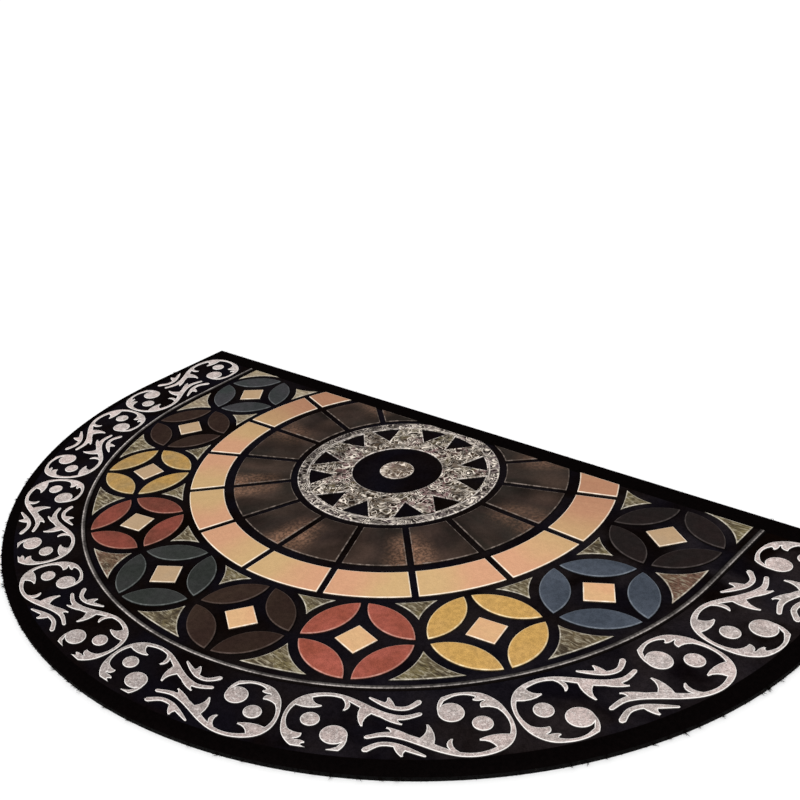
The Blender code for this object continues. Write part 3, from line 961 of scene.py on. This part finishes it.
def ring_streaks_group():
    """Soft streaks across a ring, from its inner to its outer side."""
    nodes, given = start_group("Ring Streaks", Map=None, Count=18.0)
    around = nodes.times(nodes.part("X"), given["Count"])
    place = nodes.add("ShaderNodeCombineXYZ", {"X": around, "Y": nodes.times(nodes.part("Y"), 1.6)})[0]
    streaks = nodes.noise(1.0, detail=3.0, roughness=0.6, distortion=0.3, place=place)
    return end_group(nodes, Mask=nodes.spread(streaks, 0.36, 0.66))


def fine_curls_group():
    """Fine light curls and veins, like a printed vine."""
    nodes, given = start_group("Fine Curls", Place=None, Scale=70.0)
    scale = given["Scale"]
    field = nodes.noise(scale, detail=1.0, roughness=0.4, distortion=1.8)
    curls = nodes.spread(nodes.maths("PINGPONG", nodes.times(field, 8.0), 0.5), 0.3, 0.44)
    wave = nodes.add("ShaderNodeTexNoise", {"Vector": nodes.place, "Scale": nodes.times(scale, 1.5)})["Color"]
    push = nodes.add("ShaderNodeVectorMath", {0: wave, "Scale": 0.007}, operation="SCALE")[0]
    bent = nodes.add("ShaderNodeVectorMath", {0: nodes.place, 1: push}, operation="ADD")[0]
    cells = {"Vector": bent, "Scale": nodes.times(scale, 2.4)}
    ridge = nodes.add("ShaderNodeTexVoronoi", cells, feature="DISTANCE_TO_EDGE")["Distance"]
    veins = nodes.times(nodes.spread(ridge, 0.02, 0.1, 1.0, 0.0), 0.35)
    gaps = nodes.spread(nodes.noise(nodes.times(scale, 2.0)), 0.38, 0.58, 0.2, 1.0)
    return end_group(nodes, Mask=nodes.times(nodes.maths("MAXIMUM", curls, veins), gaps, clamp=True))


def build_groups():
    """The effects that several materials share."""
    return {
        "grain": pile_grain_group(),
        "edge": edge_highlight_group(),
        "patches": soft_patches_group(),
        "streaks": ring_streaks_group(),
        "curls": fine_curls_group(),
    }


def ground_material(colours):
    """Black pile, a shade lighter under the pattern, with faint patches of other tones towards the right,
    partly tint and partly painted sheen.
    """
    pile = Surface("ground_pile", colours.ground, 0.0)
    # Grey and navy patches, stronger towards the right: partly tints of the pile, partly painted sheen
    rightwards = pile.spread(pile.part("X"), 0.05, 0.3, 0.2, 1.0)
    field = pile.lay(colours.field, colours.field_tint_and_sheen, pile.patches(18.0), rightwards)
    field = pile.lay(field, NAVY_TINT_AND_SHEEN, pile.patches(13.0), 0.45)
    colour = pile.lay(colours.ground, field, pile.attribute("tone"))
    return pile.short_pile(colour, tufts=700.0, grain=0.45, bump=0.6)


def rubber_material():
    """Black rubber of the rim and the underside, with a fine moulded grain."""
    rubber = Surface("rubber", display(11, 10, 10), 0.04)
    grain = rubber.noise(900.0, detail=3.0, roughness=0.6)
    rubber.join("Base Color", rubber.lay(RUBBER_BLACK, RUBBER_DUST, rubber.patches(30.0), 0.4))
    rubber.join("Roughness", rubber.spread(grain, 0.3, 0.7, 0.7, 0.95))
    rubber.relief(grain, 0.4, RUBBER_DEPTH)
    return rubber.material


def tile_place(pile):
    """The tiles' map, how near an even joint is, the count of joints from the front, and how far out."""
    plan = pile.add("ShaderNodeUVMap", uv_map="UVMap")["UV"]
    along, outwards, _ = pile.add("ShaderNodeSeparateXYZ", {0: plan}).values()
    even = pile.maths("SUBTRACT", 1.0, pile.maths("PINGPONG", along, 1.0))
    return plan, even, along, outwards


def light_tile_material(colours):
    """Tiles that fade from straw to peach between their joints, with painted shade that makes them browner
    and darker towards the back corners and darker towards the left.
    """
    pile = Surface("light_tile_pile", colours.straw)
    plan, even, along, _ = tile_place(pile)
    fade = pile.spread(pile.plus(even, pile.drift(24.0, 0.6)), 0.25, 0.8)
    colour = pile.lay(colours.peach, colours.straw, fade)
    # Painted shade: browner and darker towards the back corners
    far = pile.spread(pile.maths("ABSOLUTE", along), 3.2, 5.2, 0.0, 0.8)
    colour = pile.lay(colour, TILE_BROWN_SHADE, far)
    # Painted shade: darker towards the left
    colour = pile.lay(colour, BLACK, pile.spread(along, -2.5, 2.5, 0.14, 0.0))
    colour = pile.lay(colour, TILE_STREAKS, pile.effect("streaks", Map=plan, Count=26.0)["Mask"], 0.05)
    return pile.short_pile(colour, colours.cream, edge=1.0, breakup=0.35, tufts=700.0, grain=0.12, bump=0.35)


def dark_tile_material(colours):
    """Dark tiles, deepest at every second joint, with a speckled copper glow at the others."""
    pile = Surface("dark_tile_pile", colours.umber, 0.02)
    plan, even, along, outwards = tile_place(pile)
    lit = pile.spread(pile.plus(even, pile.drift(20.0, 0.8)), 0.0, 0.5)
    colour = pile.lay(UMBER_SHADOW, colours.umber, lit)
    colour = pile.lay(colour, UMBER_GREEN, pile.patches(16.0), 0.55)
    colour = pile.lay(colour, UMBER_STREAKS, pile.effect("streaks", Map=plan, Count=7.0)["Mask"], 0.2)
    light = pile.spread(pile.noise(26.0, detail=1.0), 0.35, 0.7)
    colour = pile.lay(colour, UMBER_LIGHT, light, pile.spread(outwards, 0.0, 0.7, 0.2, 0.5))
    spot = pile.times(pile.spread(even, 0.5, 0.95), pile.spread(outwards, 0.05, 0.6))
    speckle = pile.spread(pile.noise(380.0, roughness=0.6), 0.4, 0.6, 0.3, 1.0)
    cloud = pile.spread(pile.noise(30.0), 0.28, 0.55, 0.3, 1.0)
    front = pile.spread(pile.maths("ABSOLUTE", along), 2.6, 3.8, 0.95, 0.4)
    colour = pile.lay(colour, colours.copper, pile.times(pile.times(spot, speckle), cloud), front)
    colour = pile.lay(colour, UMBER_DEEP, pile.spread(pile.noise(34.0, detail=0.0), 0.45, 0.75, 0.0, 0.5))
    return pile.short_pile(colour, UMBER_EDGE_HIGHLIGHT, edge=0.8, breakup=0.8, tufts=650.0, bump=0.4)


def plan_radius(pile, depth):
    """How far a place on the mat is from the middle of the sun, in plan metres."""
    press = depth / PLAN_DEPTH
    middle = (0.0, depth / 2 - BACK_DEPTH * press, 0.0)
    moved = pile.add("ShaderNodeVectorMath", {0: pile.place, 1: middle}, operation="SUBTRACT")["Vector"]
    scale = (1.0, MM / press, 0.0)
    flat = pile.add("ShaderNodeVectorMath", {0: moved, 1: scale}, operation="MULTIPLY")["Vector"]
    return pile.add("ShaderNodeVectorMath", {0: flat}, operation="LENGTH")["Value"]


def sun_material(colours, depth):
    """Brownish grey with faint green and pink under fine light curls, and a line inside its outer ring."""
    pile = Surface("sun_pile", colours.sun)
    colour = pile.lay(colours.sun, SUN_GREEN, pile.patches(34.0), 0.6)
    pink = pile.spread(pile.noise(30.0, distortion=0.5), 0.48, 0.62)
    colour = pile.lay(colour, SUN_PINK, pink, 0.8)
    radius = plan_radius(pile, depth)
    line_place, line_width = SUN_LINE_RADIUS * MM, SUN_LINE_WIDTH * MM
    colour = pile.lay(colour, SUN_RING, pile.spread(radius, line_place, line_place + line_width, 0.0, 0.7))
    deep = pile.spread(pile.noise(210.0, roughness=0.6, distortion=1.0), 0.43, 0.54, 0.0, 0.95)
    colour = pile.lay(colour, SUN_DEEP, deep)
    colour = pile.lay(colour, colours.sun_lines, pile.effect("curls", Place=pile.place, Scale=58.0)["Mask"])
    colour = pile.lay(colour, BLACK, pile.spread(pile.part("X"), -0.09, -0.03, 0.45, 0.0))
    colour = pile.lay(colour, SUN_MIDDLE, pile.spread(radius, DOT_RADIUS * MM, DISC_RADIUS * MM, 0.1, 0.0))
    aside = pile.maths("ABSOLUTE", pile.maths("SUBTRACT", radius, line_place))
    line = pile.spread(aside, 0.2 * line_width, 0.6 * line_width, 0.7, 0.0)
    breakup = pile.spread(pile.noise(60.0, roughness=0.6), 0.38, 0.58, 0.1, 1.0)
    colour = pile.lay(colour, SUN_LINE, line, breakup)
    return pile.short_pile(colour, SUN_EDGE_HIGHLIGHT, edge=0.9, breakup=0.85, grain=0.2)


def petal_material(name, colour, highlight_colour, second, patch=0.9, grain=0.34, edge=0.9):
    """Pile of petals or squares, with patches of a second tone."""
    pile = Surface(name + "_pile", colour, 0.02)
    mottled = pile.lay(colour, second, pile.patches(30.0), patch)
    toned = pile.lay(mottled, darker(colour, 0.4), pile.attribute("tone"), 0.4)
    return pile.short_pile(toned, highlight_colour, edge=edge, breakup=0.55, tufts=520.0, grain=grain, bump=0.45)


def triangle_material(colours):
    """Olive pile with brown and yellowish parts, brushed with light and dark dabs, lightest on the left."""
    pile = Surface("triangle_pile", colours.olive)
    tone, along = pile.attribute("tone"), pile.part("X")
    colour = pile.lay(colours.olive, TRIANGLE_BROWN, pile.spread(tone, 0.5, 0.9))
    yellow = pile.spread(pile.noise(55.0, distortion=0.8), 0.46, 0.62)
    colour = pile.lay(colour, TRIANGLE_YELLOW, yellow, pile.spread(tone, 0.6, 0.9, 0.65, 0.2))
    shade = pile.spread(pile.noise(42.0, distortion=0.5), 0.34, 0.52, 0.85, 0.0)
    colour = pile.lay(colour, TRIANGLE_SHADE, shade)
    brush = {"Vector": pile.place, "Rotation": (0, 0, 0.6), "Scale": (0.45, 1.5, 1)}
    brushed = pile.add("ShaderNodeMapping", brush)["Vector"]
    dabs = pile.noise(300.0, detail=3.0, roughness=0.65, distortion=0.8, place=brushed)
    colour = pile.lay(colour, DARK_DABS, pile.spread(dabs, 0.34, 0.5, 0.8, 0.0))
    colour = pile.lay(colour, LIGHT_DABS, pile.spread(dabs, 0.5, 0.64, 0.0, 0.85))
    dim = pile.plus(pile.spread(along, -0.3, 0.05, 0.0, 0.2), pile.times(tone, 0.16))
    colour = pile.lay(colour, BLACK, dim)
    corner = pile.maths("SUBTRACT", along, pile.part("Y"))
    colour = pile.lay(colour, CORNER_LIGHT, pile.spread(corner, -0.36, -0.27, 0.3, 0.0))
    return pile.short_pile(colour, TRIANGLE_EDGE_HIGHLIGHT, edge=0.85, grain=0.2)


def rib_material(colours):
    """Painted highlight: a light, broken-up line along the outer side of a dark rib, which is faintly lit
    inside it.
    """
    pile = Surface("rib_pile", colours.rib)
    breakup = pile.spread(pile.noise(34.0, roughness=0.6), 0.34, 0.6, 0.4, 1.0)
    stripes = pile.spread(pile.noise(420.0, roughness=0.6), 0.38, 0.55, 0.5, 1.0)
    light = pile.times(pile.times(pile.attribute("edge"), breakup), stripes, clamp=True)
    # Painted highlight, strongest on the left and weaker towards the right
    colour = pile.lay(RIB_BLACK, colours.rib, light, pile.spread(pile.part("X"), 0.0, 0.3, 1.0, 0.65))
    return pile.short_pile(colour, grain=0.2)


def scroll_material(colours):
    """Pale grey with a touch of pink, with a painted highlight along its edges, and darker at the front of
    the mat.
    """
    pile = Surface("scroll_pile", colours.scroll)
    along = pile.part("X")
    colour = pile.lay(colours.scroll, SCROLL_GREY, pile.patches(60.0))
    colour = pile.lay(colour, SCROLL_PINK, pile.spread(pile.noise(30.0), 0.42, 0.62), 0.7)
    aside = pile.maths("ABSOLUTE", pile.plus(along, -0.03))
    dim = pile.plus(pile.spread(aside, 0.04, 0.3, 0.32, 0.0), pile.spread(along, 0.05, 0.35, 0.0, 0.12))
    colour = pile.lay(colour, BLACK, dim)
    speckle = pile.spread(pile.noise(520.0, roughness=0.6), 0.5, 0.66, 0.0, 0.45)
    colour = pile.lay(colour, SCROLL_SPECKLE, speckle)
    return pile.short_pile(colour, SCROLL_EDGE_HIGHLIGHT, edge=1.0, breakup=0.2, tufts=480.0, grain=0.5, bump=0.45)


def fibre_material(colours):
    """Stray black fibres, a few of them greyer."""
    fibre = Surface("stray_fibre", colours.ground, 0.0)
    fibre.join("Base Color", fibre.lay(FIBRE_BLACK, FIBRE_GREY, fibre.spread(fibre.noise(120.0), 0.55, 0.75)))
    fibre.shader["Roughness"].default_value = 0.9
    return fibre.material


# Operators


class DOORMAT_OT_ground(bpy.types.Operator):
    """Make the black slab with its bevelled rim and its rubber underside"""

    bl_idname = "doormat.ground"
    bl_label = "Ground"

    def execute(self, context):
        sizes, colours = context.scene.doormat_sizes, context.scene.doormat_colours
        bm = new_form()
        mat_face(bm)
        face_up(bm)
        crowns, _ = lift_faces(bm, sizes.rim / MM)
        for face in bm.faces:
            top = face in crowns
            face.material_index = 0 if top else 1
            face.smooth = not top
        share = (sizes.ground - sizes.rim) / MM / sum(rise for _, rise in RIM_ROWS)
        for inset, rise in RIM_ROWS:
            for face in inset_faces(bm, crowns, inset, rise * share):
                face.smooth = True
        pattern_field(bm, crowns)
        finish_piece(context, "mat_ground", bm, [ground_material(colours), rubber_material()])
        return {"FINISHED"}


class DOORMAT_OT_tiles(bpy.types.Operator):
    """Make the outer ring of light tiles and the inner ring of dark tiles"""

    bl_idname = "doormat.tiles"
    bl_label = "Tile Rings"

    def execute(self, context):
        sizes, colours = context.scene.doormat_sizes, context.scene.doormat_colours
        rings = (
            ("light_tiles", LIGHT_RING, light_tile_material),
            ("dark_tiles", DARK_RING, dark_tile_material),
        )
        for name, ring, material in rings:
            bm = new_form()
            ring_tiles(bm, ring)
            raise_forms(bm, sizes.ground, sizes.tile_side, TILE_ROWS)
            tile_map(bm, ring)
            finish_piece(context, name, bm, [material(colours)])
        return {"FINISHED"}


class DOORMAT_OT_sun(bpy.types.Operator):
    """Make the sun with its notches, and the dot in its middle"""

    bl_idname = "doormat.sun"
    bl_label = "Sun"

    def execute(self, context):
        sizes, colours = context.scene.doormat_sizes, context.scene.doormat_colours
        bm = new_form()
        sun_faces(bm)
        raise_forms(bm, sizes.ground, sizes.low_side, SUN_ROWS)
        finish_piece(context, "sun", bm, [sun_material(colours, sizes.depth)])
        return {"FINISHED"}


class DOORMAT_OT_rosettes(bpy.types.Operator):
    """Make the petals in their colours, and the squares between them"""

    bl_idname = "doormat.rosettes"
    bl_label = "Rosettes"

    def execute(self, context):
        sizes, colours = context.scene.doormat_sizes, context.scene.doormat_colours
        # Each pile with its colour, the colour of its painted edge highlight, its second tone and the angles
        # of its rosettes
        piles = (
            ("blue", colours.blue, display(126, 133, 142), display(88, 95, 107), (77,)),
            ("slate", colours.slate, display(112, 114, 116), display(56, 62, 60), (-99,)),
            ("brown", colours.brown, display(96, 82, 76), display(60, 46, 38), (11, -77)),
            ("ebony", colours.ebony, display(84, 76, 74), display(42, 32, 31), (99,)),
            ("yellow", colours.yellow, display(250, 230, 188), display(210, 166, 100), (55,)),
            ("ochre", darker(colours.yellow, 0.12), display(226, 210, 172), display(172, 146, 104), (-55,)),
            ("red", colours.red, display(208, 156, 142), display(154, 80, 62), (33,)),
            ("russet", darker(colours.red, 0.42), display(176, 128, 114), display(112, 66, 54), (-33,)),
            ("teal", colours.teal, display(116, 120, 118), display(62, 62, 62), (-11,)),
        )
        for seed, (name, colour, highlight_colour, second, angles) in enumerate(piles):
            bm = new_form()
            for angle in angles:
                rosette_petals(bm, angle)
            fill_loops(bm)
            cut_at_limit(bm)
            give_tones(bm, seed)
            crowns = raise_forms(bm, sizes.ground, sizes.tile_side, PETAL_ROWS)
            for face in crowns:
                face.smooth = True
            for share, rise in PETAL_CROWN:
                crowns = shrink_crowns(bm, crowns, share, rise)
            finish_piece(context, name + "_petals", bm, [petal_material(name, colour, highlight_colour, second)])

        # The dim squares are the light squares with painted shade, on the left of the mat and in the back
        # right corner
        squares = (
            ("light", display(218, 176, 130), display(218, 166, 126), (11, 33, 55, 77)),
            ("dim", display(182, 152, 118), display(180, 154, 124), (-99, -77, -55, -33, -11, 99)),
        )
        for name, colour, second, angles in squares:
            bm = new_form()
            for angle in angles:
                rosette_square(bm, angle)
            raise_forms(bm, sizes.ground, sizes.tile_side, TILE_ROWS)
            material = petal_material(name + "_square", colour, colours.cream, second, 0.8, 0.12, 1.0)
            finish_piece(context, name + "_squares", bm, [material])
        return {"FINISHED"}


class DOORMAT_OT_triangles(bpy.types.Operator):
    """Make the curved triangles between the rosettes"""

    bl_idname = "doormat.triangles"
    bl_label = "Curved Triangles"

    def execute(self, context):
        sizes, colours = context.scene.doormat_sizes, context.scene.doormat_colours
        bm = new_form()
        half = ROSETTE_COUNT // 2
        for k in range(-half, half + 1):
            curved_triangle(bm, TILE_PITCH * k, -1)
            if abs(k) < half:
                curved_triangle(bm, TILE_PITCH * k, 1)
        for way in (-1, 1):
            corner_triangle(bm, way)
        fill_loops(bm)
        cut_at_limit(bm)
        triangle_tones(bm)
        raise_forms(bm, sizes.ground, sizes.low_side, TRIANGLE_ROWS)
        finish_piece(context, "curved_triangles", bm, [triangle_material(colours)])
        return {"FINISHED"}


class DOORMAT_OT_rib(bpy.types.Operator):
    """Make the rib round the rosettes, with the painted highlight of its light line"""

    bl_idname = "doormat.rib"
    bl_label = "Rib"

    def execute(self, context):
        ground = context.scene.doormat_sizes.ground / MM
        bm = new_form()
        edge = bm.verts.layers.float["edge"]
        section = []
        for offset, height, strength in RIB_SECTION:
            vert = bm.verts.new((-RIB_RADIUS + offset, 0, ground + height))
            vert[edge] = strength
            section.append(vert)
        loop = [bm.edges.new(pair) for pair in zip(section, section[1:] + section[:1])]
        spun = bmesh.ops.spin(
            bm, geom=section + loop, cent=(0, 0, 0), axis=(0, 0, 1), angle=math.pi, steps=RIB_STEPS
        )
        for end in (loop, only(spun["geom_last"], BMEdge)):
            leg = bmesh.ops.extrude_edge_only(bm, edges=end)["geom"]
            bmesh.ops.translate(bm, verts=only(leg, BMVert), vec=(0, PATTERN_LIMIT, 0))
            bmesh.ops.contextual_create(bm, geom=only(leg, BMEdge))
        for face in bm.faces:
            face.smooth = len(face.verts) == 4
        finish_piece(context, "rib", bm, [rib_material(context.scene.doormat_colours)])
        return {"FINISHED"}


class DOORMAT_OT_scrolls(bpy.types.Operator):
    """Make the border of leafy scrolls"""

    bl_idname = "doormat.scrolls"
    bl_label = "Scroll Border"

    def execute(self, context):
        sizes, colours = context.scene.doormat_sizes, context.scene.doormat_colours
        bm = new_form()
        scroll_faces(bm)
        raise_forms(bm, sizes.ground, sizes.low_side, SCROLL_ROWS)
        finish_piece(context, "scroll_border", bm, [scroll_material(colours)])
        return {"FINISHED"}


def rim_place(share):
    """A foot on the mat's side and the way out of it in degrees, for a share of the way round."""
    half = PLAN_WIDTH / 2
    if abs(share) > 1:
        across = math.copysign(half * (1 - 2 * (abs(share) - 1)), share)
        return Vector((across, BACK_DEPTH, 0)), 180.0
    angle = CORNER_ANGLE * share
    if abs(angle) <= 90:
        return on_circle(outline_radius(angle), angle), angle
    up = half * math.tan(math.radians(abs(angle) - 90))
    return Vector((math.copysign(half, angle), up, 0)), math.copysign(90, angle)


def add_fibre(bm, foot, outward, length, lean):
    """One stiff fibre that leans up from the way out."""
    aim = on_circle(math.cos(lean), outward, height=math.sin(lean))
    turn = aim.to_track_quat("Z", "Y").to_matrix().to_4x4()
    place = Matrix.Translation(foot + aim * (length / 2 - FIBRE_ROOT)) @ turn
    thick, thin = FIBRE_RADII
    bmesh.ops.create_cone(
        bm, cap_ends=True, segments=3, radius1=thick, radius2=thin, depth=length, matrix=place
    )


class DOORMAT_OT_fibres(bpy.types.Operator):
    """Make the short stray fibres and the small tufts along the rim"""

    bl_idname = "doormat.fibres"
    bl_label = "Stray Fibres"

    def execute(self, context):
        sizes = context.scene.doormat_sizes
        rng = random.Random(FIBRE_SEED)
        bm = new_form()
        longest = sizes.fibre / MM
        top = sizes.rim / MM
        for _ in range(sizes.fibres):
            foot, outward = rim_place(rng.uniform(-WAY_ROUND, WAY_ROUND))
            foot.z = rng.uniform(0.5, top)
            turn = outward + rng.uniform(-50, 50)
            length = longest * rng.uniform(0.25, 0.5)
            add_fibre(bm, foot, turn, length, rng.uniform(-0.1, 0.6))
        for _ in range(sizes.tufts):
            foot, outward = rim_place(rng.triangular(-WAY_ROUND, WAY_ROUND, -0.5))
            middle = outward + rng.uniform(-55, 55)
            for _ in range(TUFT_FIBRES):
                stray = Vector((rng.uniform(-1.2, 1.2), rng.uniform(-0.6, 0.6), rng.uniform(0.6, top)))
                length = longest * rng.uniform(0.5, 1.0)
                turn = middle + rng.uniform(-18, 18)
                add_fibre(bm, foot + stray, turn, length, rng.uniform(0.0, 0.5))
        finish_piece(context, "stray_fibres", bm, [fibre_material(context.scene.doormat_colours)])
        return {"FINISHED"}


class DOORMAT_OT_stage(bpy.types.Operator):
    """Make the plain floor, the soft light and the camera"""

    bl_idname = "doormat.stage"
    bl_label = "Stage"

    def execute(self, context):
        bm = bmesh.new()
        bmesh.ops.create_grid(bm, x_segments=1, y_segments=1, size=FLOOR_HALF)
        mesh = bpy.data.meshes.new("floor")
        bm.to_mesh(mesh)
        bm.free()
        pale = Surface("pale_floor", FLOOR_COLOUR, 0.0)
        pale.join("Base Color", pale.lay(*FLOOR_TONES, pale.noise(1.5)))
        pale.shader["Roughness"].default_value = 1.0
        mesh.materials.append(pale.material)
        new_object(context, "floor", mesh)

        world = bpy.data.worlds.new("studio_sky")
        world.use_nodes = True
        sky = Nodes(world.node_tree, None)
        seen = sky.add("ShaderNodeLightPath")["Is Camera Ray"]
        background = world.node_tree.nodes["Background"].inputs
        background["Color"].default_value = (1.0, 1.0, 1.0, 1.0)
        world.node_tree.links.new(sky.spread(seen, 0.0, 1.0, SKY_LIGHT, 1.0), background["Strength"])
        context.scene.world = world

        lamp = bpy.data.lights.new("studio_key", "SUN")
        lamp.energy = KEY_STRENGTH
        lamp.angle = math.radians(KEY_SOFTNESS)
        key = new_object(context, "studio_key", lamp)
        key.rotation_euler = Vector(KEY_AIM).to_track_quat("-Z", "Y").to_euler()

        lens = bpy.data.cameras.new("camera")
        lens.lens = CAMERA_LENS
        lens.sensor_width = 36.0
        lens.shift_x = CAMERA_SHIFT
        lens.shift_y = CAMERA_SHIFT
        camera = new_object(context, "camera", lens)
        camera.location = CAMERA_PLACE
        camera.rotation_euler = [math.radians(angle) for angle in CAMERA_TURN]
        context.scene.camera = camera
        context.scene.view_settings.view_transform = "Standard"
        return {"FINISHED"}


OPERATORS = (
    DOORMAT_OT_ground,
    DOORMAT_OT_tiles,
    DOORMAT_OT_sun,
    DOORMAT_OT_rosettes,
    DOORMAT_OT_triangles,
    DOORMAT_OT_rib,
    DOORMAT_OT_scrolls,
    DOORMAT_OT_fibres,
    DOORMAT_OT_stage,
)


class DOORMAT_PT_panel(bpy.types.Panel):
    """The doormat's pieces, sizes and colours"""

    bl_idname = "DOORMAT_PT_panel"
    bl_label = "Doormat"
    bl_space_type = "VIEW_3D"
    bl_region_type = "UI"
    bl_category = "Doormat"

    def draw(self, context):
        for group in (context.scene.doormat_sizes, context.scene.doormat_colours):
            box = self.layout.box()
            for name in group.__annotations__:
                box.prop(group, name)
        for operator in OPERATORS:
            self.layout.operator(operator.bl_idname)


CLASSES = (DoormatSizes, DoormatColours, *OPERATORS, DOORMAT_PT_panel)


def register():
    """Adds the classes, and the sizes and colours of the scene."""
    for item in CLASSES:
        bpy.utils.register_class(item)
    bpy.types.Scene.doormat_sizes = bpy.props.PointerProperty(type=DoormatSizes)
    bpy.types.Scene.doormat_colours = bpy.props.PointerProperty(type=DoormatColours)


def unregister():
    """Takes them out again."""
    del bpy.types.Scene.doormat_colours
    del bpy.types.Scene.doormat_sizes
    for item in reversed(CLASSES):
        bpy.utils.unregister_class(item)


def main():
    """Builds everything in order."""
    register()
    bpy.ops.doormat.ground()
    bpy.ops.doormat.tiles()
    bpy.ops.doormat.sun()
    bpy.ops.doormat.rosettes()
    bpy.ops.doormat.triangles()
    bpy.ops.doormat.rib()
    bpy.ops.doormat.scrolls()
    bpy.ops.doormat.fibres()
    bpy.ops.doormat.stage()


if __name__ == "__main__":
    main()
